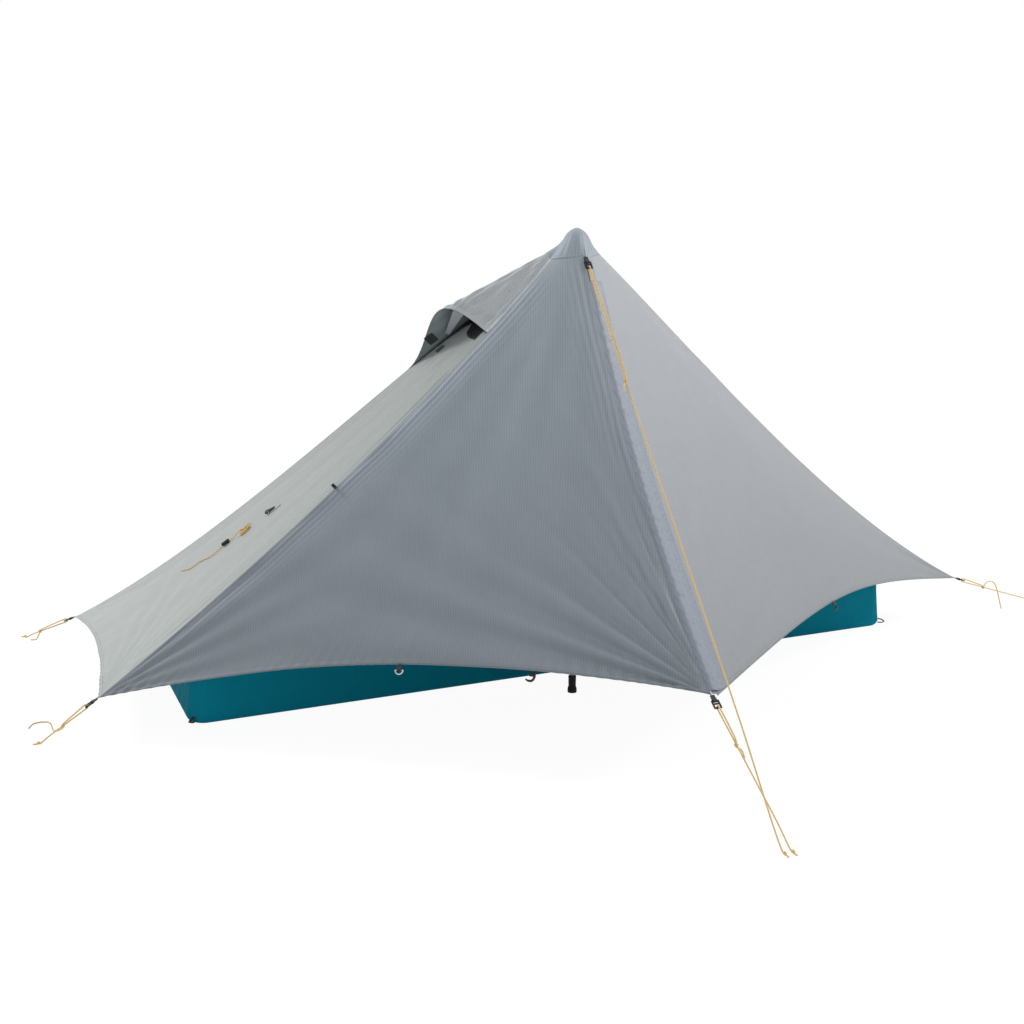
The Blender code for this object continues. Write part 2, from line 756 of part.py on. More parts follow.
def make_ridges():
    front = ArcRidge(Vector((0, -FRONT_REACH, FRONT_RISE)), FRONT_SAG)
    ties = {
        "foot_front": (-FOOT_FRONT_REACH, FOOT_FRONT_DEPTH, FOOT_FRONT_RISE),
        "head_front": (HEAD_FRONT_REACH, HEAD_FRONT_DEPTH, HEAD_FRONT_RISE),
        "head_back": (HEAD_BACK_REACH, HEAD_BACK_DEPTH, HEAD_BACK_RISE),
        "back": (BACK_OFFSET, BACK_DEPTH, BACK_RISE),
        "foot_back": (-FOOT_BACK_REACH, FOOT_BACK_DEPTH, FOOT_BACK_RISE),
    }
    sags = {
        "foot_front": (FOOT_FRONT_SAG, FOOT_FRONT_SAG_SHARE),
        "head_front": (HEAD_FRONT_SAG, HEAD_FRONT_SAG_SHARE),
        "head_back": (BACK_SAG, BACK_SAG_SHARE),
        "back": (BACK_SAG, BACK_SAG_SHARE),
        "foot_back": (FOOT_BACK_SAG, FOOT_BACK_SAG_SHARE),
    }
    ridges = {name: Ridge(Vector(ties[name]), *sags[name]) for name in ties}
    ridges["front"] = front
    ridges["edge"] = StripEdge(front, door_start())
    ridges["fold"] = Ridge(front.tie.lerp(ridges["head_front"].tie, DOOR_SHARE), 0, 1)
    return ridges


def fixed_tape_start():
    return GAP + TAPE_THICKNESS * math.tan(ZIP_TILT)


def coil_start():
    return fixed_tape_start() + TAPE_WIDTH + GAP


def door_tape_start():
    return coil_start() + COIL_WIDTH + GAP


def door_start():
    return door_tape_start() + TAPE_WIDTH + GAP


def make_patches(ridges):
    """The six panels' surfaces, the door and its zip strip apart, each between two ridges."""
    def between(first, last, *hem):
        return Patch(ridges[first], ridges[last], *hem)

    right_hem = (FRONT_RIGHT_HEM_SHARE, FRONT_RIGHT_LEAN_SHARE)
    return {
        "front_left": between("foot_front", "front", FRONT_LEFT_HEM_SHARE, FRONT_LEFT_LEAN_SHARE),
        "zip": between("front", "edge"),
        "door": between("edge", "fold", *right_hem, (0.0, DOOR_SHARE)),
        "front_right": between("fold", "head_front", *right_hem, (DOOR_SHARE, 1.0)),
        "head": between("head_front", "head_back", HEAD_HEM_SHARE, 0.0),
        "back_right": between("head_back", "back", BACK_HEM_SHARE, 0.0),
        "back_left": between("back", "foot_back", BACK_HEM_SHARE, 0.0),
        "foot": between("foot_back", "foot_front", FOOT_HEM_SHARE, FOOT_LEAN_SHARE),
    }


def build_canopy(ridges, patches, cloth):
    panel("front_left_panel", patches["front_left"], evenly(12), 12, cloth["front"])
    panel("front_right_panel", patches["front_right"], evenly(5), 12, cloth["side"])
    panel("head_panel", patches["head"], evenly(8), 10, cloth["side"])
    panel("back_right_panel", patches["back_right"], evenly(8), 10, cloth["side"])
    panel("back_left_panel", patches["back_left"], evenly(8), 10, cloth["side"])
    foot = patches["foot"]
    seam_share = GAP / (foot.first.tie - foot.first.start).length
    places = [0, TUCK_START_SHARE, *evenly(12)[1:]]
    panel("vent_hood", foot, places, 8, cloth["foot"], foot=lip, lift=hood_lift)
    panel("foot_panel", foot, places, 12, cloth["foot"], top=lambda u: panel_top(u) + 8 * seam_share)
    panel("vent_mesh", foot, evenly(9, *VENT_MESH_SPAN_SHARES), 3, cloth["mesh"],
          top=lambda u: VENT_MESH_TOP_SHARE, foot=panel_top, lift=vent_mesh_lift, thickness=MESH_THICKNESS)
    outer = CAP_RISE, RING_RADIUS
    inner = CAP_RISE - CAP_THICKNESS, RING_RADIUS - CAP_THICKNESS
    steps = 7
    angles = [math.pi / 2 * k / steps for k in range(steps + 1)]
    profile = [(outer[1] * math.cos(a), outer[0] * math.sin(a)) for a in angles[:-1]]
    profile += [(0, outer[0])]
    under = [(0, inner[0])]
    under += [(inner[1] * math.cos(a), inner[0] * math.sin(a)) for a in reversed(angles[:-1])]
    base = RING_HEIGHT + GAP
    profile = [(r, z + base) for r, z in profile + under]
    return dome("peak_cap", profile, 24, cloth["front"])


def dome(name, profile, segments, stuff):
    """A turned shell whose outer and inner skins both close on the axis."""
    half = len(profile) // 2
    mesh = turned_mesh(profile[:half], segments, False)
    under = turned_mesh(profile[half:], segments, False)
    data = bpy.data.meshes.new(name)
    under.to_mesh(data)
    under.free()
    mesh.from_mesh(data)
    bpy.data.meshes.remove(data)
    rims = [edge for edge in mesh.edges if edge.is_boundary]
    bmesh.ops.bridge_loops(mesh, edges=rims)
    return finish_object(name, mesh, stuff)


def door_surface(arc, door, v, width, height):
    """A point of the storm flap: over the zip strip, and past it over the door panel."""
    if width <= door_start():
        return arc.strip(v, width, height)
    across = door.at(1, v) - door.at(0, v)
    share = (width - door_start()) / across.length
    return door.lifted(share, v, height)


def build_door(ridges, patches, cloth, plastic):
    """The door panel, its zip tape and the storm flap, which turn together about the fold."""
    arc, door = ridges["front"], patches["door"]
    leaf = panel("door_panel", door, evenly(8), 12, cloth["side"])
    start = door_tape_start()
    tape = strip("zip_tape_door", arc, (start, start + TAPE_WIDTH), (0, 0), TAPE_THICKNESS,
                 cloth["tape"], GAP, ZIP_FOOT_SHARE, 12)
    outer, inner = [], []
    rise_shares = (1, 1, 1, 0.6, 0.2, 0)
    for k, rise in enumerate(rise_shares):
        outer.append([])
        inner.append([])
        for j in range(13):
            v = ZIP_TOP_SHARE + (ZIP_FOOT_SHARE - ZIP_TOP_SHARE) * j / 12
            last = FLAP_TOP_WIDTH + (FLAP_FOOT_WIDTH - FLAP_TOP_WIDTH) * j / 12
            past = max(k - 2, 0) / (len(rise_shares) - 3)
            near = (FLAP_START, FLAP_START + TAPE_WIDTH, door_start())[min(k, 2)]
            width = near + (last - door_start()) * past
            lowest = FLAP_THICKNESS + 2 * GAP
            height = lowest + (FLAP_RISE - lowest) * rise
            outer[k].append(door_surface(arc, door, v, width, height))
            inner[k].append(door_surface(arc, door, v, width, height - FLAP_THICKNESS))
    flap = shell("storm_flap", outer, inner, cloth["front"])
    hook = hem_hook("hem_hook_right", door, HOOK_RIGHT_SHARE, plastic)
    set_pivot([leaf, tape, flap, hook], ridges["fold"].start, "door_axis")


def build_zip(arc, cloth, metal):
    """The fixed tape with the coil, and the slider with its pull on the coil."""
    start = fixed_tape_start()
    rows = 12
    places = [GAP + (ZIP_FOOT_SHARE - GAP) * j / rows for j in range(rows + 1)]
    step = start + TAPE_WIDTH
    widths = (start, step, step + GAP, step + COIL_WIDTH)
    tops = (0, 0, COIL_THICKNESS / 2, COIL_THICKNESS / 2)
    bottoms = (-TAPE_THICKNESS, -TAPE_THICKNESS, -COIL_THICKNESS / 2 - GAP, -COIL_THICKNESS / 2 - GAP)
    outer = [[arc.strip(v, w, top) for v in places] for w, top in zip(widths, tops)]
    inner = [[arc.strip(v, w, low) for v in places] for w, low in zip(widths, bottoms)]
    shell("zip_tape_fixed", outer, inner, cloth["tape"])
    middle = coil_start() + COIL_WIDTH / 2
    floor = COIL_THICKNESS / 2 + GAP
    length = 2 * arc.half_angle * arc.radius
    outer, inner = [], []
    for side in (-1, 0, 1):
        outer.append([])
        inner.append([])
        for place, broad, low, rise in SLIDER_SHARES:
            v = SLIDER_REST_SHARE + (place - 0.5) * SLIDER_LENGTH / length
            width = middle + side * SLIDER_WIDTH / 2 * broad
            bottom = floor + SLIDER_THICKNESS * low
            shoulder = low + (rise - low) * (1 if side == 0 else 0.7)
            outer[-1].append(arc.strip(v, width, floor + SLIDER_THICKNESS * shoulder))
            inner[-1].append(arc.strip(v, width, bottom))
    slider = shell("zip_slider", outer, inner, metal)
    set_pivot([slider], arc.centre, "zip_axis")


def hem_frame(patch, u):
    """A point just below a hem at the middle of the fabric, and the ways down, along it and out."""
    place = patch.at(u, patch.hem(u))
    side = (patch.at(u + PROBE, patch.hem(u + PROBE)) - place).normalized()
    out = patch.normal(u, patch.hem(u))
    down = side.cross(out).normalized()
    if down.z > 0:
        down = -down
    return place + down * HEM_CLEAR - out * CANOPY_THICKNESS / 2, down, side, out


def hem_hook(name, patch, share, plastic):
    """A webbing tab and a flat hook that hang from a hem."""
    base, down, side, out = hem_frame(patch, share)
    hook_shares = ((0, 0), (1, 0), (1, 0.55), (0.85, 0.8), (0.5, 1), (-0.1, 1), (-0.5, 0.85),
                   (-0.5, 0.7), (-0.1, 0.8), (0.35, 0.8), (0.6, 0.65), (0.65, 0.45), (0, 0.45))
    outline = [base + side * HOOK_WIDTH * (a - 0.5) + down * HOOK_LENGTH * b for a, b in hook_shares]
    return prism(name, outline, out * HOOK_THICKNESS, plastic)


def surface_plate(mesh, patch, u, v, length, width, low, thickness, columns=2, rows=2):
    """A small plate that follows a patch, centred at (u, v) and lying at a height above it."""
    long_way = (patch.at(u, v + PROBE) - patch.at(u, v - PROBE)).length / (2 * PROBE)
    wide_way = (patch.at(u + PROBE, v) - patch.at(u - PROBE, v)).length / (2 * PROBE)
    outer, inner = [], []
    for i in range(columns + 1):
        outer.append([])
        inner.append([])
        for j in range(rows + 1):
            a = u + (i / columns - 0.5) * width / wide_way
            b = v + (j / rows - 0.5) * length / long_way
            outer[i].append(patch.lifted(a, b, low(a, b) + thickness))
            inner[i].append(patch.lifted(a, b, low(a, b)))
    add_shell(mesh, outer, inner)


def build_vent(patches, cloth):
    """The prop under the hood's lip and the hook and loop patches."""
    foot = patches["foot"]
    mesh = bmesh.new()
    surface_plate(mesh, foot, *PANEL_PATCH_PLACE_SHARES, PATCH_LENGTH, PATCH_WIDTH, lambda u, v: GAP, PATCH_THICKNESS)
    finish_object("vent_panel_patch", mesh, cloth["patch"])

    def under_hood(u, v):
        return hood_lift(u, v) - HOOD_CLEAR - PATCH_THICKNESS

    mesh = bmesh.new()
    surface_plate(mesh, foot, *HOOD_PATCH_PLACE_SHARES, PATCH_LENGTH, PATCH_WIDTH, under_hood, PATCH_THICKNESS)
    finish_object("vent_hood_patch", mesh, cloth["patch"])

    def below_hood(u, v, depth):
        return foot.lifted(u, v, hood_lift(u, v) - depth)

    first, last = PROP_LIP_SHARES
    left = below_hood(first, lip(first), PROP_DEPTH)
    right = below_hood(last, lip(last), PROP_DEPTH)
    end = below_hood(*PROP_FOOT_PLACE_SHARES, PROP_FOOT_DEPTH)
    side = (right - left).normalized()
    out = side.cross(end - left).normalized()
    outline = [left, end - side * PROP_FOOT_WIDTH / 2, end + side * PROP_FOOT_WIDTH / 2, right]
    prop = prism("vent_prop", outline, out * PROP_THICKNESS, cloth["prop"])
    set_pivot([prop], left, "prop_axis")


def build_tie_outs(ridges, webbing, plastic, line):
    """Webbing and adjusters at the peak and the six tie-outs, and the guylines of five of them."""
    arc = ridges["front"]
    front_stake = on_ground(0, -FRONT_STAKE_REACH)
    peak_base = arc.strip(PEAK_TAB_SHARE, 0, WEBBING_THICKNESS + GAP)
    stakes = {
        "front": front_stake,
        "foot_front": on_ground(-FOOT_FRONT_STAKE_REACH, FOOT_FRONT_STAKE_DEPTH),
        "foot_back": on_ground(-FOOT_BACK_STAKE_REACH, FOOT_BACK_STAKE_DEPTH),
        "head_front": on_ground(HEAD_FRONT_STAKE_REACH, HEAD_FRONT_STAKE_DEPTH),
    }
    peak_tie = Vector((0, peak_base.y, peak_base.z))
    places = {"peak": tie_out("peak", peak_tie, front_stake, webbing, plastic)}
    for name, stake in stakes.items():
        places[name] = tie_out(name, ridges[name].tie, stake, webbing, plastic)
    for name in ("head_back", "back"):
        tie = ridges[name].tie
        outward = tie.xy.normalized().to_3d() - Vector((0, 0, FREE_TIE_DROP_SHARE))
        tie_webbing(name, tie, tie + outward, webbing)
    side = Vector((STAKE_SPREAD, 0, 0))
    stakes["peak"] = front_stake - side
    stakes["front"] = front_stake + side
    for name, (knot_share, tail_shares) in GUYLINE_SHARES.items():
        guyline(name + "_guyline", *places[name], stakes[name], knot_share, tail_shares, line)


def build_side_guyout(patches, cloth, webbing, plastic, line):
    """The tie-out in the middle of the foot panel, with its cord wound up and its end loose."""
    foot = patches["foot"]
    u, v = SIDE_ACROSS_SHARE, SIDE_DOWN_SHARE
    mesh = bmesh.new()
    surface_plate(mesh, foot, u, v, SIDE_PATCH_LENGTH, SIDE_PATCH_WIDTH, lambda a, b: GAP, PATCH_THICKNESS)
    finish_object("side_patch", mesh, cloth["foot"])
    down, side, out = patch_frame(foot, u, v)
    centre = foot.lifted(u, v, PATCH_THICKNESS + 2 * GAP + WEBBING_THICKNESS)
    mesh = bmesh.new()
    along = (down + out * SIDE_LIFT_SHARE).normalized()
    outer, inner = webbing_outline(centre, along, side.cross(along), SIDE_WEBBING_LENGTH)
    add_ring_plate(mesh, outer, inner, side * WEBBING_WIDTH)
    finish_object("side_webbing", mesh, webbing)
    down, side, out = patch_frame(foot, *HANK_PLACE_SHARES)
    ground = foot.lifted(*HANK_PLACE_SHARES, HANK_CLEARANCE)
    wound = hank_route(ground, down, side, out)
    pitch = CORD_DIAMETER + HANK_CLEAR
    inner = HANK_LENGTH / 2 + HANK_INNER_RADIUS
    reach = inner + HANK_LOOPS / 2 * pitch
    high = 2.5 * pitch + CORD_DIAMETER / 2
    lead = [ground + down * a + out * b for a, b in (
        (-reach - 2 * pitch, high / 2), (-reach, high), (-inner, high), (-inner / 2, high * 0.7), (0, high / 3))]
    over = [ground + down * a + side * pitch / 2 + out * b for a, b in (
        (inner * 0.5, high), (inner, high), (reach, high * 0.9))]
    tail = [foot.lifted(a, b, CORD_DIAMETER / 2 + HANK_CLEARANCE) for a, b in SIDE_TAIL_PLACE_SHARES]
    before = smooth_route(lead + [wound[0]], CORD_SPACING)[:-1]
    after = smooth_route([wound[-1], *over, *tail], CORD_SPACING)[1:]
    tube("side_cord", before + wound + after, CORD_DIAMETER, line, 1)
    way = (tail[1] - tail[0]).normalized()
    beside = out.cross(way)
    lock = tail[0].lerp(tail[1], 0.5)
    mesh = bmesh.new()
    hole = CORD_DIAMETER / 2 + 2 * GAP
    ring_outer, ring_inner = [], []
    for k in range(8):
        angle = math.pi / 4 * (k + 0.5)
        spread = beside * math.cos(angle) * SIDE_LOCK_WIDTH + out * math.sin(angle) * SIDE_LOCK_HEIGHT
        ring_outer.append(lock + spread / 2 + out * (SIDE_LOCK_HEIGHT / 2 - CORD_DIAMETER / 2 - GAP))
        ring_inner.append(lock + (beside * math.cos(angle) + out * math.sin(angle)) * hole / math.cos(math.pi / 8))
    add_ring_plate(mesh, ring_outer, ring_inner, way * (tail[1] - tail[0]).length * 0.9)
    finish_object("side_cord_lock", mesh, plastic)


def patch_frame(patch, u, v):
    """The ways down a patch, across it and out of it."""
    down = (patch.at(u, v + PROBE) - patch.at(u, v - PROBE)).normalized()
    out = patch.normal(u, v)
    return down, down.cross(out).normalized(), out


def build_trim(ridges, patches, webbing, plastic, metal):
    """The pull tab on the foot ridge, and the ring, its strap and the hook on the front hem."""
    ridge = ridges["foot_front"]
    place = ridge.at(RIDGE_TAB_SHARE)
    along = (ridge.at(RIDGE_TAB_SHARE + PROBE) - place).normalized()
    out = ridge.mitre(RIDGE_TAB_SHARE).normalized()
    outline = [place + out * GAP * 2 + along * TAB_HEIGHT / 2 * a + out * TAB_HEIGHT * b
               for a, b in ((-0.5, 0), (0.5, 0), (0.45, 0.55), (0.15, 0.8), (-0.3, 0.7))]
    prism("ridge_tab", outline, out.cross(along) * WEBBING_THICKNESS, webbing)
    left = patches["front_left"]
    base, down, side, normal = hem_frame(left, RING_PLACE_SHARE)
    mesh = bmesh.new()
    outer, inner = webbing_outline(base, down, normal, RING_STRAP_LENGTH)
    add_ring_plate(mesh, outer, inner, side * WEBBING_WIDTH)
    finish_object("hem_ring_strap", mesh, webbing)
    bar = base + down * RING_STRAP_LENGTH
    loops = []
    for offset in (HEM_RING_WIRE / 2, -HEM_RING_WIRE / 2):
        radius = HEM_RING_RADIUS + offset
        arc = [bar + (side * math.cos(a) + down * math.sin(a)) * radius
               for a in (math.pi * k / 10 for k in range(11))]
        corners = [bar - side * radius - down * offset, bar + side * radius - down * offset]
        loops.append(corners + arc[1:-1])
    mesh = bmesh.new()
    add_ring_plate(mesh, loops[0], loops[1], normal * HEM_RING_WIRE)
    finish_object("hem_ring", mesh, metal)
    hem_hook("hem_hook_left", left, HOOK_LEFT_SHARE, plastic)


def floor_outline(inset, height):
    """The floor's outline with round corners, drawn in by inset."""
    radius = FLOOR_CORNER_RADIUS - inset
    corners = (
        (FLOOR_HEAD - FLOOR_CORNER_RADIUS, FLOOR_FRONT + FLOOR_CORNER_RADIUS, -math.pi / 2),
        (FLOOR_HEAD - FLOOR_CORNER_RADIUS, FLOOR_BACK - FLOOR_CORNER_RADIUS, 0),
        (FLOOR_CORNER_RADIUS - FLOOR_FOOT, FLOOR_BACK - FLOOR_CORNER_RADIUS, math.pi / 2),
        (FLOOR_CORNER_RADIUS - FLOOR_FOOT, FLOOR_FRONT + FLOOR_CORNER_RADIUS, math.pi),
    )
    steps = 4
    points = []
    for x, y, first in corners:
        for k in range(steps + 1):
            angle = first + math.pi / 2 * k / steps
            points.append(Vector((x + radius * math.cos(angle), y + radius * math.sin(angle), height)))
    return points


def build_floor(cloth, webbing):
    """The bathtub floor: an open tray of thin fabric, with a webbing tab at each corner."""
    thick = FLOOR_THICKNESS
    loops = [
        floor_outline(FLOOR_CHINE, 0),
        floor_outline(0, FLOOR_CHINE),
        floor_outline(FLOOR_LEAN, FLOOR_WALL),
        floor_outline(FLOOR_LEAN + thick, FLOOR_WALL),
        floor_outline(thick, FLOOR_CHINE),
        floor_outline(FLOOR_CHINE + thick, thick),
    ]
    mesh = bmesh.new()
    rings = [[mesh.verts.new(point) for point in loop] for loop in loops]
    for lower, upper in zip(rings, rings[1:]):
        for k in range(len(lower)):
            n = (k + 1) % len(lower)
            mesh.faces.new([lower[k], lower[n], upper[n], upper[k]])
    mesh.faces.new(rings[0])
    mesh.faces.new(rings[-1])
    finish_object("bathtub_floor", mesh, cloth["floor"])
    outline = floor_outline(0, FLOOR_CHINE)
    count = len(outline) // 4
    for corner, name, side in ((0, "floor_tab_head", 1), (3, "floor_tab_foot", -1)):
        seat = outline[corner * count + count // 2]
        way = Vector((side, -1, 0)).normalized()
        start = seat + way * GAP
        up = Vector((0, 0, TAB_HEIGHT / 2))
        end = start + way * TAB_LENGTH
        prism(name, [start - up / 2, end - up / 2, end + up / 4, start + up],
              Vector((-way.y, way.x, 0)) * WEBBING_THICKNESS * 1.5, webbing)


def wall_top(ridges, side, share):
    """A point of the mesh wall's top edge, just under a ridge."""
    ridge = ridges[side]
    return ridge.at(share) - ridge.mitre(share) * CANOPY_THICKNESS - Vector((0, 0, MESH_DROP))


def build_mesh(ridges, patches, cloth):
    """The front mesh wall with its doorway, the rolled mesh door and the mesh skirt."""
    half = 8
    tops = [wall_top(ridges, "foot_front", WALL_END_SHARE + (WALL_TOP_SHARE - WALL_END_SHARE) * k / half)
            for k in range(half + 1)]
    others = [wall_top(ridges, "head_front", WALL_TOP_SHARE + (WALL_END_SHARE - WALL_TOP_SHARE) * k / half)
              for k in range(half + 1)]
    peak = (tops[-1] + others[0]) / 2
    peak.y = WALL_PEAK_DEPTH
    tops = tops + [peak] + others
    low = FLOOR_FRONT + FLOOR_LEAN
    sill = FLOOR_WALL + GAP
    outer, inner = [], []
    rows = 6
    thick = Vector((0, MESH_THICKNESS, 0))
    for k, top in enumerate(tops):
        foot_x = max(min(top.x, FLOOR_HEAD - FLOOR_CORNER_RADIUS), FLOOR_CORNER_RADIUS - FLOOR_FOOT)
        foot_point = Vector((foot_x, low, sill))
        outer.append([top.lerp(foot_point, j / rows) for j in range(rows + 1)])
        inner.append([point + thick for point in outer[k]])
    doorway = [(i, j) for i in range(DOORWAY_FIRST, DOORWAY_LAST) for j in range(1, rows - 1)]
    shell("mesh_front_wall", outer, inner, cloth["mesh"], doorway)
    jamb = DOORWAY_LAST
    start = outer[jamb][1].lerp(outer[jamb][rows - 1], 0.03)
    end = outer[jamb][rows - 1]
    out = Vector((0, -1, 0))
    thick_shares = (0.55, 0.95, 1.0, 0.9, 1.0, 0.9, 0.6)
    mesh = bmesh.new()
    loops = []
    count = 10
    for k, share in enumerate(thick_shares):
        centre = start.lerp(end, k / (len(thick_shares) - 1)) + out * ROLL_RADIUS
        ring = [centre + polar(ROLL_RADIUS * share, 2 * math.pi * a / count, 0) for a in range(count)]
        loops.append([mesh.verts.new(point) for point in ring])
    for lower, upper in zip(loops, loops[1:]):
        for k in range(count):
            n = (k + 1) % count
            mesh.faces.new([lower[k], lower[n], upper[n], upper[k]])
    mesh.faces.new(loops[0])
    mesh.faces.new(loops[-1])
    finish_object("mesh_door_roll", mesh, cloth["mesh"])


def rim_point(point):
    """The place on top of the floor's wall that lies nearest to a point, and the way out of it."""
    core = Vector((
        min(max(point.x, FLOOR_CORNER_RADIUS - FLOOR_FOOT), FLOOR_HEAD - FLOOR_CORNER_RADIUS),
        min(max(point.y, FLOOR_FRONT + FLOOR_CORNER_RADIUS), FLOOR_BACK - FLOOR_CORNER_RADIUS),
        FLOOR_WALL + GAP,
    ))
    way = (point - core).xy.normalized().to_3d()
    return core + way * (FLOOR_CORNER_RADIUS - FLOOR_LEAN - FLOOR_THICKNESS / 2), way


def build_skirt(patches, cloth):
    """The mesh between the floor's walls and the canopy at the foot, the back and the head."""
    outer, inner = [], []
    steps = 4
    for name in ("foot", "back_left", "back_right", "head"):
        for k in range(steps + 1):
            u = 1 - k / steps
            if name != "foot" and k == 0:
                continue
            u = min(u, SKIRT_END_SHARE) if name == "foot" else u
            u = max(u, 1 - SKIRT_END_SHARE) if name == "head" else u
            top = patches[name].lifted(u, SKIRT_SHARE, -CANOPY_THICKNESS - MESH_DROP)
            low, way = rim_point(top)
            half = way * MESH_THICKNESS / 2
            outer.append([top.lerp(low, j / 2) + half for j in range(3)])
            inner.append([point - 2 * half for point in outer[-1]])
    shell("mesh_skirt", outer, inner, cloth["mesh"])


def tube_profile(radius, low, high):
    return [(radius, low), (radius, high), (radius - SHAFT_WALL, high), (radius - SHAFT_WALL, low)]


def build_pole(paint, rubber, plastic, webbing, grip_stuff):
    """The trekking pole: three shafts one in another, with lock collars, levers, grip and strap."""
    top = RING_HEIGHT + CAP_RISE - CAP_THICKNESS
    lower_low = FOOT_SEAT
    upper_high = top - GRIP_BORE_ROOF
    overlap = (LOWER_LENGTH + MIDDLE_LENGTH + UPPER_LENGTH - (upper_high - lower_low)) / 2
    lower_high = lower_low + LOWER_LENGTH
    middle_low = lower_high - overlap
    middle_high = middle_low + MIDDLE_LENGTH
    upper_low = middle_high - overlap
    bore = LOWER_RADIUS + GAP
    foot_profile = [(0, 0), (FOOT_RADIUS, 0), (FOOT_RADIUS, FOOT_HEIGHT / 5), (FOOT_RADIUS * 0.8, FOOT_HEIGHT * 0.4),
                    (FOOT_RADIUS * 0.85, FOOT_HEIGHT), (bore, FOOT_HEIGHT), (bore, FOOT_SEAT - GAP),
                    (0, FOOT_SEAT - GAP)]
    turned("pole_foot", foot_profile, 20, rubber)
    turned("lower_shaft", tube_profile(LOWER_RADIUS, lower_low, lower_high), 16, paint, closed=True)
    basket = [(bore, 0), (bore + COLLAR_WALL, 0), (BASKET_RADIUS, 0.6), (BASKET_RADIUS, 1.6),
              (bore + COLLAR_WALL, 1), (bore + COLLAR_WALL, 3), (bore, 3)]
    basket = [(r, BASKET_HEIGHT + share * BASKET_THICKNESS) for r, share in basket]
    turned("pole_basket", basket, 20, plastic, closed=True)
    middle = turned("middle_shaft", tube_profile(MIDDLE_RADIUS, middle_low, middle_high), 16, paint, closed=True)
    upper = turned("upper_shaft", tube_profile(UPPER_RADIUS, upper_low, upper_high), 16, paint, closed=True)
    low_collar, low_lever, low_axis = lock("lower", middle_low, MIDDLE_RADIUS, LOWER_RADIUS, plastic)
    high_collar, high_lever, high_axis = lock("upper", upper_low, UPPER_RADIUS, MIDDLE_RADIUS, plastic)
    grip_low = top - GRIP_LENGTH
    waist, full = GRIP_WAIST_RADIUS, GRIP_RADIUS
    bore = UPPER_RADIUS + GAP
    grip_shares = ((0, 0.96, full), (0, 0.9, full), (1, 0.70, waist), (1, 0.45, waist), (0, 0.25, full),
                   (1, 0.1, waist), (1, 0, waist))
    crown = [(full * math.cos(a), top - full * (1 - math.sin(a)) * 0.6) for a in
             (math.pi / 2 * k / 5 for k in range(5, 0, -1))]
    profile = [(0, top)] + [(r, z) for r, z in crown[1:]]
    profile += [(radius, grip_low + GRIP_LENGTH * (share - 0.04)) for _, share, radius in grip_shares[1:-1]]
    profile += [(waist, grip_low), (bore, grip_low), (bore, upper_high + GAP), (0, upper_high + GAP)]
    grip = turned("pole_grip", profile, 20, grip_stuff)
    strap = wrist_strap(top, webbing)
    set_pivot([middle, low_collar], Vector((0, 0, middle_low)), "middle_slide_axis")
    set_pivot([upper, high_collar, grip, strap], Vector((0, 0, upper_low)), "upper_slide_axis")
    return low_axis, high_axis


def wrist_strap(top, webbing):
    """A closed loop of webbing that hangs beside the grip."""
    near = GRIP_WAIST_RADIUS + GAP - STRAP_THICKNESS / 2
    high = top - GRIP_LENGTH * 0.38
    outline_shares = ((0, 0), (0.35, 0.06), (0.75, -0.12), (1, -0.45), (0.95, -0.8), (0.6, -1), (0.25, -0.85),
                      (0.12, -0.5), (0, -0.12))
    centre = [Vector((-near - STRAP_THICKNESS - STRAP_REACH * a, 0, high + STRAP_DROP * b)) for a, b in outline_shares]
    outer, inner = [], []
    count = len(centre)
    middle = sum(centre, Vector()) / count
    for k, point in enumerate(centre):
        way = (centre[(k + 1) % count] - centre[k - 1]).normalized()
        out = way.cross(Vector((0, 1, 0)))
        if out.dot(point - middle) < 0:
            out = -out
        outer.append(point + out * STRAP_THICKNESS / 2)
        inner.append(point - out * STRAP_THICKNESS / 2)
    mesh = bmesh.new()
    add_ring_plate(mesh, outer, inner, Vector((0, STRAP_WIDTH, 0)))
    return finish_object("wrist_strap", mesh, webbing)


def lock(name, low, outer_radius, inner_radius, plastic):
    """A collar that clamps a shaft's end, and the lever that wraps round it from its eye."""
    wide = outer_radius + GAP
    narrow = inner_radius + GAP
    radius = wide + COLLAR_WALL
    bottom, top = low - COLLAR_LIP, low + COLLAR_HEIGHT - COLLAR_LIP
    bevel = COLLAR_WALL / 4
    profile = [(narrow, bottom), (radius - bevel, bottom), (radius, bottom + bevel), (radius, top - bevel),
               (radius - bevel, top), (wide, top), (wide, low - GAP), (narrow, low - GAP)]
    collar = turned(name + "_collar", profile, 20, plastic, closed=True)
    middle = (bottom + top) / 2
    eye_distance = radius + LEVER_EYE + GAP
    eye = Vector((eye_distance, 0, middle))
    near, far = radius + 2 * GAP, radius + 2 * GAP + LEVER_THICKNESS
    near_meet = circles_meet(near, eye_distance, LEVER_EYE)
    far_meet = circles_meet(far, eye_distance, LEVER_EYE)
    steps = 9
    under = [polar(near, near_meet + (LEVER_SWEEP - near_meet) * k / steps, middle) for k in range(steps + 1)]
    over = [polar(far, LEVER_SWEEP - (LEVER_SWEEP - far_meet) * k / steps, middle) for k in range(steps + 1)]
    first = math.atan2(over[-1].y - eye.y, over[-1].x - eye.x)
    last = math.atan2(under[0].y - eye.y, under[0].x - eye.x) - 2 * math.pi
    bends = [first + (last - first) * k / 8 for k in range(1, 8)]
    round_eye = [eye + polar(LEVER_EYE, angle, 0) for angle in bends]
    lever = prism(name + "_lever", under + over + round_eye, Vector((0, 0, LEVER_HEIGHT)), plastic)
    set_pivot([lever], eye, name + "_lever_axis")
    return collar, lever, eye


def circles_meet(radius, distance, other_radius):
    """The angle at which a circle about the axis meets another circle on +X."""
    return math.acos((radius**2 + distance**2 - other_radius**2) / (2 * radius * distance))


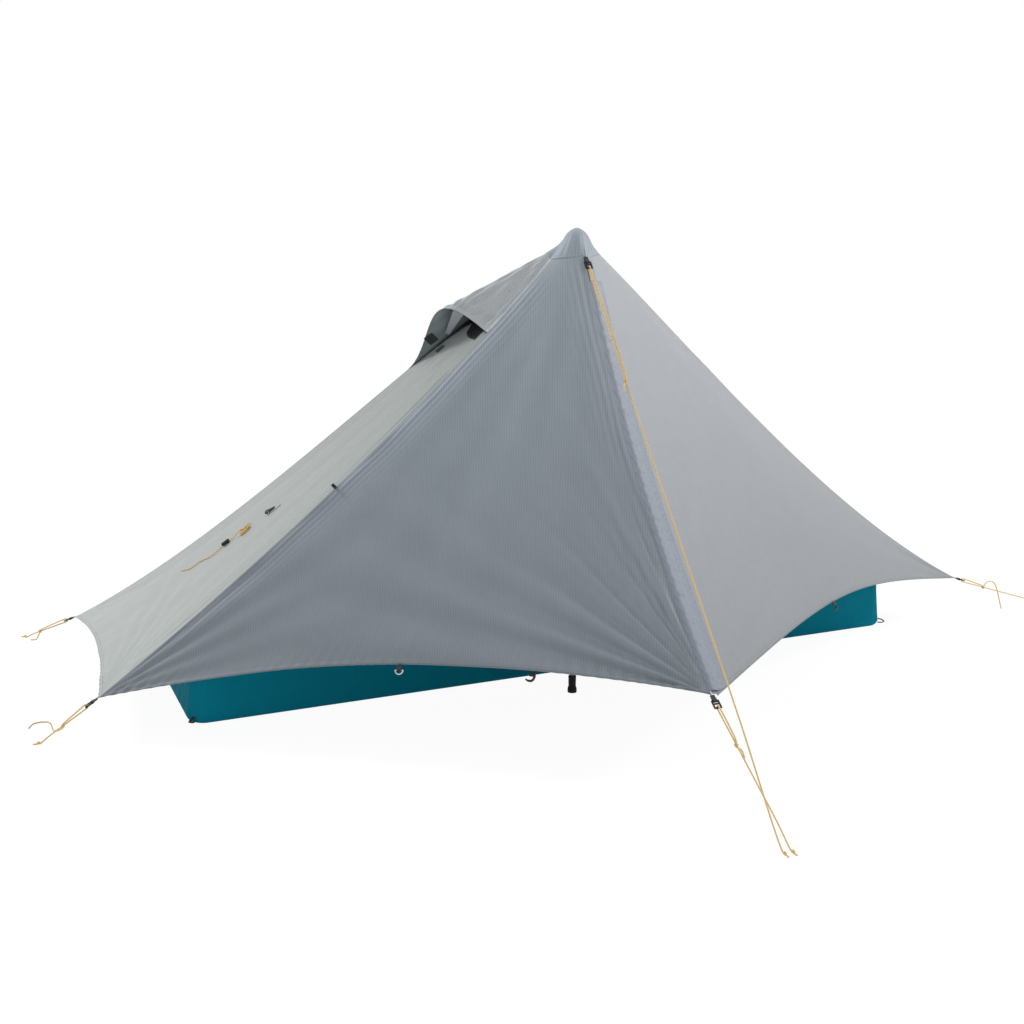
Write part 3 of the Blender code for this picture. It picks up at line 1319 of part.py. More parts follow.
def main():
    clear_scene()
    paint = {
        "front": material("front_ripstop", (0.30, 0.36, 0.42), 0.7),
        "side": material("side_ripstop", (0.42, 0.46, 0.50), 0.7),
        "foot": material("foot_ripstop", (0.40, 0.45, 0.46), 0.7),
        "mesh": material("black_mesh", (0.02, 0.02, 0.02), 0.9),
        "floor": material("floor_fabric", (0.02, 0.22, 0.26), 0.6),
        "tape": material("zip_tape", (0.12, 0.13, 0.14), 0.8),
        "prop": material("prop_fabric", (0.35, 0.37, 0.38), 0.7),
        "patch": material("hook_and_loop", (0.05, 0.05, 0.06), 0.9),
    }
    webbing = material("black_webbing", (0.02, 0.02, 0.02), 0.8)
    plastic = material("black_plastic", (0.03, 0.03, 0.03), 0.45)
    line = material("yellow_cord", (0.72, 0.50, 0.05), 0.7)
    steel = material("steel", (0.6, 0.6, 0.6), 0.3, 1.0)
    shaft = material("anodised_aluminium", (0.15, 0.16, 0.17), 0.35, 1.0)
    rubber = material("black_rubber", (0.03, 0.03, 0.03), 0.8)
    foam = material("grip_foam", (0.05, 0.05, 0.05), 0.9)
    ridges = make_ridges()
    patches = make_patches(ridges)
    build_canopy(ridges, patches, paint)
    build_door(ridges, patches, paint, plastic)
    build_zip(ridges["front"], paint, steel)
    build_vent(patches, paint)
    build_tie_outs(ridges, webbing, plastic, line)
    build_side_guyout(patches, paint, webbing, plastic, line)
    build_trim(ridges, patches, webbing, plastic, steel)
    build_floor(paint, webbing)
    build_mesh(ridges, patches, paint)
    build_skirt(patches, paint)
    build_pole(shaft, rubber, plastic, webbing, foam)


main()
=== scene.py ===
"""The looks of a one-person tent pitched on a trekking pole: fabric, mesh, webbing, cords and floor.

Metres throughout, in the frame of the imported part: origin at the pole's foot, +X to the head end,
+Y to the back, +Z up. The surfaces follow the same ridges and patches as the part's own panels.
"""

import math

import bmesh
import bpy
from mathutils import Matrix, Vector
import numpy as np


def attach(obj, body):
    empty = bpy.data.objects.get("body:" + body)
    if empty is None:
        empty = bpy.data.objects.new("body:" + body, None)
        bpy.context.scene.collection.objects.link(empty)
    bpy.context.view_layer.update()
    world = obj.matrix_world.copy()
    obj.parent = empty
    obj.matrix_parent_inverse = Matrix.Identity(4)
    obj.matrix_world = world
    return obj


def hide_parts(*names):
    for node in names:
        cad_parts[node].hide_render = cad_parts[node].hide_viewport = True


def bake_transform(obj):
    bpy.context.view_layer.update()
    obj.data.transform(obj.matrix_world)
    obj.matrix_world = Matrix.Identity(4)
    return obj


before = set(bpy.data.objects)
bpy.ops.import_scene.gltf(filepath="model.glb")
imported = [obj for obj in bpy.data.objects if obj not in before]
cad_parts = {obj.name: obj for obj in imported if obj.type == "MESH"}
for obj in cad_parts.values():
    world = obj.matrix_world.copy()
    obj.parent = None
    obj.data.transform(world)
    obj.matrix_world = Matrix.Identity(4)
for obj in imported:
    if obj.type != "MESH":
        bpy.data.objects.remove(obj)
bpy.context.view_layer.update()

# General
GAP = 0.0003
SEAM_GAP = 0.0005
CANOPY_THICKNESS = 0.0008
MESH_DROP = 0.0012
FABRIC = 0.0004
PROBE = 0.0005

# Camera
CAMERA_PLACE = (-1.528, -3.161, 1.307)
CAMERA_PITCH = math.radians(13)
CAMERA_YAW = math.radians(23.154)
CAMERA_LENS_MM = 48.375
CAMERA_SENSOR_MM = 36

# Stage: each lamp by its way from the tent, its distance, its size and its power
STAGE_HALF_WIDTH = 60.0
STAGE_COLOR = (0.85, 0.85, 0.85, 1)
WORLD_COLOR = (0.93, 0.96, 1.0, 1)
STAGE_GLOW = 1.08
STAGE_GLOW_SHARE = 0.88
WORLD_STRENGTH = 0.55
LAMP_TARGET = (0.0, 0.0, 0.5)
LAMPS = {
    "key": ((0.80, -0.30, 0.52), 7.0, 1.2, 190.0),
    "second": ((-0.60, 0.50, 0.62), 6.5, 1.5, 140.0),
}

# Fabrics: lit and shaded copies of one ripstop, one for each panel, whose colours paint the light and shade
# on that panel: colour, the tone of the thicker threads either way, and the painted light and shade at the
# ground and the peak
PANEL_CLOTHS_LIT_AND_SHADED = {
    "front": {"color": (0.325, 0.362, 0.398), "line_shares": (0.76, 0.95), "painted_light_and_shade": (0.72, 1.30)},
    "side": {"color": (0.388, 0.402, 0.420), "line_shares": (0.92, 0.95), "painted_light_and_shade": (0.70, 1.21)},
    "foot": {"color": (0.400, 0.425, 0.405), "line_shares": (0.90, 0.96), "painted_light_and_shade": (1.24, 0.75)},
    "flap": {"color": (0.360, 0.395, 0.455), "line_shares": (0.76, 0.95), "painted_light_and_shade": (0.72, 1.12)},
}
TEAL = (0.0, 0.345, 0.480)
AMBER = (1.000, 0.660, 0.220)
PAINTED_LIGHT_START_HEIGHT = 0.1
THREAD_SHARE = 0.34
STITCH_PITCH = 0.0036
STITCH_WIDTH_SHARE = 0.16
STITCH_GAP_SHARE = 0.3

# Peak
RING_RADIUS = 0.034
RING_HEIGHT = 1.187
CAP_RISE = 0.038
RING_FADE_SHARE = 12
CAP_POWER = 1.7
CAP_TURN_SHARE = 0.37
CAP_SKIRT_SHARE = 0.027
CAP_LIFT = 0.00045
CAP_RINGS = 16
CAP_CUT_HEIGHT = 0.07

# Ripples of the cap: rise, waves round it and phase
CAP_RIPPLES = ((0.0009, 17, 1.0), (0.0006, 41, 0.0))

# Tie-outs: along X, along Y and above the ground
TIES = {
    "front": (0, -0.706, 0.234),
    "foot_front": (-1.210, 0.162, 0.105),
    "foot_back": (-1.182, 0.960, 0.080),
    "head_front": (1.386, 0.118, 0.134),
    "head_back": (1.360, 0.960, 0.100),
    "back": (0.080, 1.160, 0.100),
}

# How far each ridge hangs below its chord, and the power that moves the lowest point along it
FRONT_SAG = 0.050
SAGS = {
    "foot_front": (0.053, 0.815),
    "foot_back": (0.046, 1.97),
    "head_front": (0.069, 1.44),
    "head_back": (0.050, 1.2),
    "back": (0.050, 1.2),
}

# Hems: how much of the panel's length the curve takes away at mid width, and its lean
FRONT_LEFT_HEM_SHARES = (0.075, -0.20)
FRONT_RIGHT_HEM_SHARES = (0.075, 0.33)
FOOT_HEM_SHARES = (0.027, -0.13)
HEAD_HEM_SHARES = (0.030, 0.0)
BACK_HEM_SHARES = (0.080, 0.0)
HEM_WIDTH = 0.012
HEM_RISE = 0.0006
HEM_LINES = HEM_WIDTH * np.array((1.1, 1, 0.5, 0))
HEM_PUCKER = 0.0009
HEM_PUCKER_PITCH = 0.030
HEM_PUCKER_DEPTH = 0.045
SEAM_WIDTH = 0.010
SEAM_LINES = SEAM_WIDTH * np.array((0, 0.5, 1, 1.1))
SEAM_LINE_SHARE = 0.05
SEAM_PUCKER = 0.0005
SEAM_PUCKER_PITCH = 0.022
SEAM_PUCKER_DEPTH = 0.020
EDGE_CALM = 0.02
EDGE_CROWD_SHARE = 0.4

# How finely each surface is made: columns across and rows down
GRID_SIZES = {
    "front_left": (190, 170),
    "right_side": (150, 130),
    "head": (90, 90),
    "back_right": (90, 90),
    "back_left": (90, 90),
    "foot": (150, 140),
    "hood": (110, 44),
    "vent": (50, 24),
    "prop": (13, 22),
    "gusset": (15, 50),
}

# Creases of the panels. A fan runs out from a lower corner: its ridge, count, rise, reach and phase.
# A long fold lies beside a seam: its ridge, pitch, rise, depth, span of the way down and phase.
# A ripple crosses the panel: its waves across, waves down, rise and phase. Ridge 0 is the first.
DRESSING = {
    "front_left": {
        "fans": ((0, 36, 0.0034, 0.20, 0.4), (1, 37, 0.0070, 0.32, 1.1), (1, 71, 0.0022, 0.20, 0.2)),
        "long_folds": (
            (1, 0.017, 0.0018, 0.030, (0.02, 0.60), 0.2),
            (0, 0.019, 0.0010, 0.045, (0.05, 1.0), 1.1),
            (1, 0.024, 0.0016, 0.050, (0.55, 1.0), 2.2),
        ),
        "ripples": ((5, 3, 0.0040, 0.3), (13, -5, 0.0022, 1.2), (29, 4, 0.0008, 2.0)),
        "hem_pucker": 0.0016,
    },
    "right_side": {
        "fans": ((1, 30, 0.0030, 0.16, 0.5), (0, 26, 0.0034, 0.24, 0.9)),
        "long_folds": ((1, 0.020, 0.0010, 0.05, (0.1, 0.9), 0.4),),
        "ripples": ((7, 2, 0.0028, 0.3), (19, 3, 0.0010, 1.4)),
    },
    "foot": {
        "fans": ((0, 30, 0.0026, 0.15, 0.3), (1, 34, 0.0032, 0.18, 0.8)),
        "long_folds": ((1, 0.018, 0.0017, 0.07, (0.2, 1.0), 0.4), (0, 0.018, 0.0011, 0.06, (0.3, 1.0), 1.0)),
        "ripples": ((21, 2, 0.0014, 0.4), (47, 5, 0.0006, 0.4)),
    },
}
for panel, fan_count in (("head", 30), ("back_right", 26), ("back_left", 26)):
    DRESSING[panel] = {
        "fans": ((0, fan_count, 0.0032, 0.17, 0.5), (1, fan_count, 0.0032, 0.17, 1.3)),
        "long_folds": tuple((side, 0.019, 0.0011, 0.05, (0.05, 1.0), 0.6 + side) for side in (0, 1)),
        "ripples": ((6, 3, 0.0030, 0.8), (15, -4, 0.0014, 0.1)),
    }

# Door, zip and storm flap, measured across from the front ridge
DOOR_SHARE = 0.62
FOLD_ROUND_SHARE = 0.17
FOLD_BLEND_PLACE_SHARE = 0.6
ZIP_TILT = math.radians(27.5)
TAPE_WIDTH = 0.008
TAPE_THICKNESS = 0.0008
COIL_WIDTH = 0.004
COIL_THICKNESS = 0.0016
TAPE_ROWS = 200
COIL_ROWS = 1500
ZIP_TOP_SHARE = 0.085
ZIP_FOOT_SHARE = 0.975
FLAP_FOOT_SHARE = 0.992
FLAP_RISE = 0.0076
FLAP_THICKNESS = 0.0008
FLAP_TOP_WIDTH = 0.046
FLAP_FOOT_WIDTH = 0.080
FLAP_ROWS = 420
FLAP_SETTLE_SHARE = 0.55

# How far from the front ridge the door's creases start and are full, so that the flap lies on calm cloth
FLAP_CALM = (0.07, 0.11)
FLAP_HEM_CALM = (0.085, 0.10)

# The flap's puckers at its free edge and over the ridge: pitch, rise, depth and phase, on a nominal width.
# Its creases: rise, waves along and across, how far they sway, and the sway's waves along and across.
FLAP_PUCKER_WIDTH = 0.05
FLAP_EDGE_PUCKERS = (0.027, 0.0013, 0.045, 0.3)
FLAP_RIDGE_PUCKERS = (0.023, 0.0010, 0.025, 1.7)
FLAP_CREASES = ((0.0009, 31, 1.5, 3, 11, 0), (0.0007, 58, -2.4, 2, 23, 4))
FLAP_DEEPEST = 0.0008

# The flap's round over the ridge: across from the ridge and out of the fabric
FLAP_PROFILE = (
    (-0.0025, -0.0030), (-0.0019, -0.0012), (-0.0011, 0.0008), (0.0001, 0.0028), (0.0018, 0.0046),
    (0.0040, 0.0060), (0.0065, 0.0069), (0.0092, 0.0074), (0.0125, FLAP_RISE), (0.0160, FLAP_RISE),
    (0.0190, FLAP_RISE),
)

# Gussets over the zip's ends: the body each rides on and its span of the way down
GUSSET_SHARES = {"top": ("tent", (0, ZIP_TOP_SHARE + 0.012)), "foot": ("door", (0.965, 0.998))}
GUSSET_EDGE = 0.0010
GUSSET_RISE = 0.0016
GUSSET_CREASE = 0.0005

# Peak vent on the foot panel
LIP_NEAR_SHARE = 0.167
LIP_FAR_SHARE = 0.115
LIP_BEND_SHARE = 3.3
HOOD_RISE = 0.094
HOOD_NEAR_SHARE = 0.908
HOOD_POWER_SHARES = (1.62, 2.15)
TUCK_SHARE = 0.055
TUCK_START_SHARE = 0.018
TUCK_SPAN_SHARE = 0.75
TUCK_POWER_SHARES = (0.5, 2.8)
VENT_MESH_TOP_SHARE = 0.10
VENT_MESH_LAP_SHARES = (0.004, 0.020)
VENT_MESH_PROUD = 0.0010
VENT_MESH_WAVE = 0.0012
VENT_MESH_SPAN_SHARES = (1 / 12, 10 / 12)
HOOD_CLEAR = 0.0042
PROP_DEPTH = 0.0040
PROP_FOOT_DEPTH = 0.017
PROP_FOOT_WIDTH = 0.012
PROP_THICKNESS = 0.0016
PROP_BOW = 0.0014
PROP_RIPPLE = 0.0003
PROP_LIP_SHARES = (0.517, 0.612)
PROP_FOOT_PLACE_SHARES = (0.125, 0.207)
PATCH_LENGTH = 0.026
PATCH_WIDTH = 0.016
PATCH_THICKNESS = 0.0014
PANEL_PATCH_PLACE_SHARES = (0.18, 0.229)
HOOD_PATCH_PLACE_SHARES = (0.134, 0.2275)

# The hood's creases: gathers at the prop, a fold beside the near ridge as in the panels, and ripples
HOOD_GATHER = 0.0036
HOOD_GATHER_REACH = 0.06
HOOD_FOLDS = (0.018, 0.0026, 0.06, (0.01, 0.4), 0.5)
HOOD_RIPPLE = 0.0012

# Webbing and line adjusters
WEBBING_WIDTH = 0.011
WEBBING_THICKNESS = 0.0012
WEBBING_SEWN = 0.006
WEBBING_LENGTH = 0.016
PEAK_TAB_SHARE = 0.030
ADJUSTER_BAR = 0.003
CORD_BAR_PLACE = 0.018

# Hem hardware and the tab on the foot ridge
HEM_CLEAR = 0.0010
RING_PLACE_SHARE = 0.495
RING_STRAP_LENGTH = 0.014
RIDGE_TAB_SHARE = 0.496
RIDGE_LOOP_WIDTH_SHARE = 0.34
RIDGE_LOOP_SHARES = ((-0.35, 0), (-0.75, 0.35), (-0.6, 0.72), (0, 0.9), (0.6, 0.72), (0.75, 0.35), (0.35, 0))
LOOP_SPACING = 0.002

# Side guyout with its wound cord, on the foot panel
SIDE_ACROSS_SHARE = 0.487
SIDE_DOWN_SHARE = 0.584
SIDE_PATCH_LENGTH = 0.034
SIDE_PATCH_WIDTH = 0.026
HANK_LOOPS = 4
HANK_STEPS = 24
HANK_INNER_RADIUS = 0.0060
HANK_LENGTH = 0.010
HANK_CLEAR = 0.0007
HANK_CLEARANCE = 0.0010
HANK_PLACE_SHARES = (0.462, 0.645)
SIDE_WEBBING_LENGTH = 0.026
SIDE_LIFT_SHARE = 0.15
SIDE_TAIL_PLACE_SHARES = (
    (0.4300, 0.6760),
    (0.4250, 0.6900),
    (0.4290, 0.7010),
    (0.4326, 0.7173),
    (0.3850, 0.7383),
    (0.3800, 0.7567),
    (0.3157, 0.7737),
)

# Calm places of the foot panel, at the side guyout and its cord's end: across, down, and where the creases
# start and are full round it
CALM_SPOT_SHARES = ((SIDE_ACROSS_SHARE, SIDE_DOWN_SHARE + 0.04, 0.03, 0.09), (0.39, 0.74, 0.02, 0.08))
CALM_WIDTH_SHARE = 0.45

# Floor
FLOOR_FOOT = 0.994
FLOOR_HEAD = 1.148
FLOOR_FRONT = 0.150
FLOOR_BACK = 0.820
FLOOR_CORNER_RADIUS = 0.050
FLOOR_WALL = 0.135
FLOOR_LEAN = 0.010
FLOOR_CHINE = 0.012
FLOOR_THICKNESS = 0.0012
CHINE_SHARES = ((0, 0), (0.35, 0.10), (0.72, 0.45), (1, 1))
TAB_LENGTH = 0.022
TAB_HEIGHT = 0.016
FLOOR_LOOP_SHARES = ((0, 0.45), (0.5, 0.35), (0.92, 0), (0.5, -0.25), (0, -0.3))

# Creases of the floor's walls: rise, pitch, slant, how far they sway, and the turn of the sway
FLOOR_CREASES = ((0.0022, 0.11, 22, 1, 9), (0.0012, 0.043, -31, 2, 13))

# Inner mesh
WALL_PEAK_DEPTH = 0.055
WALL_TOP_SHARE = 0.085
WALL_END_SHARE = 0.80
WALL_FINENESS = 6
DOORWAY_COLUMNS = (10, 15)
DOORWAY_ROWS = (6, 30)
SKIRT_SHARE = 0.82
SKIRT_DROP = 0.0055
SKIRT_END_SHARE = 0.93
ROLL_RADIUS = 0.014
ROLL_TIE_SHARES = (0.33, 0.70)
ROLL_PINCH_SHARE = 0.35
ROLL_PINCH_REACH_SHARE = 0.03

# Grip and wrist strap
GRIP_LENGTH = 0.135
GRIP_RADIUS = 0.0165
GRIP_WAIST_RADIUS = 0.0145
GRIP_BORE_RADIUS = 0.0093

# The grip's outline: out as a share of its radius, and up as a share of its length
GRIP_RIBS = 24
GRIP_RIB_SHARE = 0.03
GRIP_HEAD_SHARES = (
    (0.02, 1.0), (0.35, 0.995), (0.62, 0.98), (0.82, 0.955), (0.94, 0.925), (1.0, 0.88), (0.98, 0.80),
)
GRIP_FINGER_SHARES = ((0.93, 0.36), (0.99, 0.28), (0.99, 0.20), (0.93, 0.13))
CAP_THICKNESS = 0.0012
GRIP_TOP = RING_HEIGHT + CAP_RISE - CAP_THICKNESS

# The wrist strap: its path out from the pole and up or down from its start
STRAP_WIDTH = 0.013
STRAP_THICKNESS = 0.0016
STRAP_DROP = 0.105
STRAP_REACH = 0.030
STRAP_START_SHARE = 0.38
WRIST_LOOP_SHARES = (
    (0, 0), (0.35, 0.06), (0.75, -0.12), (1, -0.45), (0.95, -0.8), (0.6, -1), (0.25, -0.85), (0.12, -0.5),
    (0, -0.12),
)

# Guylines
CORD_DIAMETER = 0.0028
CORD_BEND = 0.0046
CORD_FULLNESS_SHARE = 1.28
CORD_SPACING = 0.0013
CORD_SIDES = 10
CORD_STRANDS = 4
BRAID_PITCH = 0.0052
BRAID_SWELL_SHARE = 0.05
ROUTE_SPACING = 0.004
KNOT_PITCH = 0.0040
KNOT_TURNS = 1.5
END_KNOT_RADIUS = 0.0022
END_KNOT_PITCH = 0.0034
END_TIP = 0.010
END_KNOT_TURNS = 2
STAKE_SPREAD = 0.010
TAIL_LENGTH = 0.100
FREE_TIE_DROP_SHARE = 0.35
STAKES = {
    "front": (0, -1.034),
    "foot_front": (-1.367, 0.183),
    "foot_back": (-1.330, 1.080),
    "head_front": (1.780, 0.145),
}

# Each guyline: its knot's place along the line, and its tail from the knot on as shares of the
# tail's length: onward, sideways and up from the knot, or None where it lies on the ground
GUYLINE_SHARES = {
    "peak": (0.22, ((0.10, -0.08, -0.12), (0.18, -0.12, -0.28))),
    "front": (0.258, ((0.08, 0.10, -0.14), (0.16, 0.14, -0.30))),
    "foot_front": (0.498, (
        (0.30, -0.80, None), (0.46, -1.42, None), (0.78, -1.43, None), (0.91, -1.12, None),
    )),
    "foot_back": (0.64, ((0.10, 0.12, None), (0.22, 0.20, None))),
    "head_front": (0.258, ((0.25, 0.05, 0.12), (0.55, 0.05, 0.05), (1.0, 0.08, None))),
}

UP = np.array((0.0, 0.0, 1.0))


def unit(vectors):
    return vectors / np.linalg.norm(vectors, axis=-1, keepdims=True)


def dot(first, second):
    return (first * second).sum(-1)


def lerp(first, last, share):
    share = np.asarray(share, float)[..., None]
    return first + (last - first) * share


def stacked(*parts):
    return np.stack(np.broadcast_arrays(*parts), -1)


def polar(radius, azimuth, height):
    return stacked(radius * np.cos(azimuth), radius * np.sin(azimuth), height)


def level_way(vector):
    return unit(vector * np.array((1, 1, 0)))


def run_along(line):
    """How far along the line each of its points lies."""
    return np.concatenate(([0], np.cumsum(np.linalg.norm(np.diff(line, axis=0), axis=-1))))


def smooth_step(low, high, value):
    t = np.clip((value - low) / (high - low), 0, 1)
    return t * t * (3 - 2 * t)


class Ridge:
    """A seam from the peak ring to a tie-out that hangs below its chord."""

    def __init__(self, tie, sag, power):
        self.tie = np.array(tie, float)
        self.sag = sag
        self.power = power
        self.start = polar(RING_RADIUS, math.atan2(tie[1], tie[0]), RING_HEIGHT)
        self.patches = [None, None]

    def at(self, v):
        v = np.asarray(v, float)
        deepest = (self.power / (self.power + 1)) ** self.power / (self.power + 1)
        drop = self.sag * np.maximum(v, 0) ** self.power * (1 - v) / deepest
        return lerp(self.start, self.tie, v) - drop[..., None] * UP

    def mitre(self, v):
        """The direction that both panels at this seam are made thick along."""
        before, after = self.patches
        first = before.normal(1, v)
        middle = unit(first + after.normal(0, v))
        return middle / dot(middle, first)[..., None]


class ArcRidge(Ridge):
    """The front ridge: a true arc in the plane X = 0."""

    def __init__(self, tie, sag):
        super().__init__(tie, sag, 1)
        chord = self.tie - self.start
        length = np.linalg.norm(chord)
        self.along = unit(chord)
        self.outward = np.array((0, self.along[2], -self.along[1]))
        self.radius = length**2 / (8 * sag) + sag / 2
        self.centre = (self.start + self.tie) / 2 + self.outward * (self.radius - sag)
        self.half_angle = math.asin(length / 2 / self.radius)

    def spoke(self, v):
        angle = (2 * np.asarray(v, float) - 1) * self.half_angle
        return np.sin(angle)[..., None] * self.along - np.cos(angle)[..., None] * self.outward

    def at(self, v):
        return self.centre + self.radius * self.spoke(v)

    def strip(self, v, width, height):
        """A point beside the ridge: width across towards the door, height out of the fabric."""
        sideways = width * math.cos(ZIP_TILT) + height * math.sin(ZIP_TILT)
        inward = width * math.sin(ZIP_TILT) - height * math.cos(ZIP_TILT)
        spread = np.asarray(sideways, float)[..., None] * np.array((1.0, 0, 0))
        return self.centre + np.asarray(self.radius + inward)[..., None] * self.spoke(v) + spread


class StripEdge(Ridge):
    """The line where the door panel meets its zip tape."""

    def __init__(self, arc, width):
        super().__init__(arc.tie, arc.sag, 1)
        self.arc = arc
        self.width = width

    def at(self, v):
        return self.arc.strip(v, self.width, 0)


class Patch:
    """Fabric between two ridges: u runs across, counter-clockwise from above, and v down to the hem."""

    def __init__(self, first, last, hem=0.0, lean=0.0, hem_span=(0.0, 1.0)):
        self.first = first
        self.last = last
        self.hem_depth = hem
        self.lean = lean
        self.hem_span = hem_span
        first.patches[1] = self
        last.patches[0] = self

    def at(self, u, v):
        u, v = np.broadcast_arrays(np.asarray(u, float), np.asarray(v, float))
        top_first, top_last = self.first.at(0), self.last.at(0)
        turn_first = math.atan2(top_first[1], top_first[0])
        turn_last = math.atan2(top_last[1], top_last[0])
        turn = (turn_last - turn_first) % (2 * math.pi) * u + turn_first
        radius = (1 - u) * np.hypot(*top_first[:2]) + u * np.hypot(*top_last[:2])
        chord = lerp(top_first, top_last, u)
        bulge = polar(radius, turn, chord[..., 2]) - chord
        return lerp(self.first.at(v), self.last.at(v), u) + bulge * ((1 - v) ** RING_FADE_SHARE)[..., None]

    def normal(self, u, v):
        u, v = np.asarray(u, float), np.asarray(v, float)
        down = self.at(u, np.minimum(v + PROBE, 1)) - self.at(u, np.maximum(v - PROBE, 0))
        across = self.at(u + PROBE, v) - self.at(u - PROBE, v)
        return unit(np.cross(down, across))

    def lifted(self, u, v, height):
        return self.at(u, v) + self.normal(u, v) * np.asarray(height, float)[..., None]

    def edge_way(self, u, v):
        """The way across the panel at its edge, square to the ridge."""
        along = unit(self.at(u, np.minimum(v + PROBE, 1)) - self.at(u, np.maximum(v - PROBE, 0)))
        across = self.at(u + PROBE, v) - self.at(u - PROBE, v)
        return unit(across - along * dot(across, along)[..., None])

    def hem(self, u):
        whole = self.hem_span[0] + (self.hem_span[1] - self.hem_span[0]) * u
        return 1 - self.hem_depth * 4 * whole * (1 - whole) * (1 + self.lean * (2 * whole - 1))


def lip(u):
    """How far down the foot panel the hood's lip lies."""
    return LIP_NEAR_SHARE + LIP_FAR_SHARE * np.maximum(1 - u, 0) ** LIP_BEND_SHARE


def hump(t, rise, fall):
    """A curve from zero at 0 up to one and back to zero at 1, by its powers at either end."""
    t = np.clip(t, 0, 1)
    peak = (rise / (rise + fall)) ** rise * (fall / (rise + fall)) ** fall
    return t**rise * (1 - t) ** fall / peak


def hood_lift(u, v):
    """How far the hood stands out of the foot panel."""
    return HOOD_RISE * hump(u / HOOD_NEAR_SHARE, *HOOD_POWER_SHARES) * v / lip(u)


def panel_top(u):
    """How far down the top edge of the foot panel lies: it is tucked up under the hood."""
    return lip(u) - TUCK_SHARE * hump((u - TUCK_START_SHARE) / TUCK_SPAN_SHARE, *TUCK_POWER_SHARES)


def door_start():
    return 4 * GAP + TAPE_THICKNESS * math.tan(ZIP_TILT) + 2 * TAPE_WIDTH + COIL_WIDTH


# Surfaces
arc = ArcRidge(TIES["front"], FRONT_SAG)
ridges = {name: Ridge(TIES[name], *sag) for name, sag in SAGS.items()}
ridges["front"] = arc
ridges["edge"] = StripEdge(arc, door_start())
ridges["fold"] = Ridge(tuple(lerp(arc.tie, ridges["head_front"].tie, DOOR_SHARE)), 0, 1)


def between(first, last, hem_shares=(0.0, 0.0), span=(0.0, 1.0)):
    return Patch(ridges[first], ridges[last], *hem_shares, span)


patches = {
    "front_left": between("foot_front", "front", FRONT_LEFT_HEM_SHARES),
    "zip": between("front", "edge"),
    "door": between("edge", "fold", FRONT_RIGHT_HEM_SHARES, (0.0, DOOR_SHARE)),
    "front_right": between("fold", "head_front", FRONT_RIGHT_HEM_SHARES, (DOOR_SHARE, 1.0)),
    "head": between("head_front", "head_back", HEAD_HEM_SHARES),
    "back_right": between("head_back", "back", BACK_HEM_SHARES),
    "back_left": between("back", "foot_back", BACK_HEM_SHARES),
    "foot": between("foot_back", "foot_front", FOOT_HEM_SHARES),
}


# Materials
def add_node(tree, kind, inputs=(), **settings):
    """A new node with its settings, whose inputs are set or joined."""
    made = tree.nodes.new("ShaderNode" + kind)
    for key, value in settings.items():
        setattr(made, key, value)
    for key, value in dict(inputs).items():
        if isinstance(value, bpy.types.NodeSocket):
            tree.links.new(value, made.inputs[key])
        else:
            made.inputs[key].default_value = value
    return made


class Stuff:
    """A material under construction: short calls that add nodes and join them."""

    def __init__(self, name, color, roughness, metallic=0.0, sheen=0.0, specular=0.5):
        self.made = bpy.data.materials.new(name)
        self.made.use_nodes = True
        self.tree = self.made.node_tree
        self.shader = self.tree.nodes["Principled BSDF"]
        self.color = (*color, 1.0)
        inputs = {"Base Color": self.color, "Roughness": roughness, "Metallic": metallic,
                  "Sheen Weight": sheen, "Specular IOR Level": specular}
        for key, value in inputs.items():
            self.shader.inputs[key].default_value = value

    def node(self, kind, inputs=(), **settings):
        return add_node(self.tree, kind, inputs, **settings)

    def math(self, operation, first, second=0.0, third=0.0):
        return self.node("Math", {0: first, 1: second, 2: third}, operation=operation).outputs[0]

    def times(self, first, second):
        return self.math("MULTIPLY", first, second)

    def axes(self, kind="UV"):
        place = self.node("TexCoord").outputs[kind]
        return list(self.node("SeparateXYZ", {0: place}).outputs)

    def noise(self, scale, detail):
        inputs = {"Vector": self.node("TexCoord").outputs["Object"], "Scale": scale, "Detail": detail}
        return self.node("TexNoise", inputs).outputs["Fac"]

    def lines(self, value, pitch, width_share):
        """One at the middle of each pitch, falling to zero beside it."""
        share = self.math("FRACT", self.times(value, 1 / pitch))
        away = self.math("ABSOLUTE", self.math("SUBTRACT", share, 0.5))
        return self.math("MAXIMUM", self.math("SUBTRACT", 1.0, self.times(away, 2 / width_share)), 0.0)

    def waves(self, value, pitch):
        return self.math("SINE", self.times(value, 2 * math.pi / pitch))

    def tint(self, factor, low, high, span=(0.0, 1.0)):
        """Multiplies the base colour by low at the start of factor's span and by high at its end."""
        inputs = {"Value": factor, "From Min": span[0], "From Max": span[1], "To Min": low, "To Max": high}
        ramp = self.node("MapRange", inputs).outputs[0]
        self.lay("MULTIPLY", 1.0, self.node("CombineColor", {0: ramp, 1: ramp, 2: ramp}).outputs[0])

    def lay(self, blend_type, factor, color):
        """Lays a colour over the base colour as it is so far."""
        before = self.shader.inputs["Base Color"]
        mixed = self.node("Mix", {"Factor": factor}, data_type="RGBA", blend_type=blend_type)
        first, second = [socket for socket in mixed.inputs if socket.type == "RGBA"]
        if before.links:
            self.tree.links.new(before.links[0].from_socket, first)
        else:
            first.default_value = self.color
        if isinstance(color, bpy.types.NodeSocket):
            self.tree.links.new(color, second)
        else:
            second.default_value = (*color, 1.0)
        self.tree.links.new(next(socket for socket in mixed.outputs if socket.type == "RGBA"), before)

    def roughness(self, factor, low, high):
        ramp = self.node("MapRange", {"Value": factor, "To Min": low, "To Max": high})
        self.tree.links.new(ramp.outputs[0], self.shader.inputs["Roughness"])

    def bump(self, height, distance, strength):
        made = self.node("Bump", {"Height": height, "Distance": distance, "Strength": strength})
        before = self.shader.inputs["Normal"]
        if before.links:
            self.tree.links.new(before.links[0].from_socket, made.inputs["Normal"])
        self.tree.links.new(made.outputs[0], before)


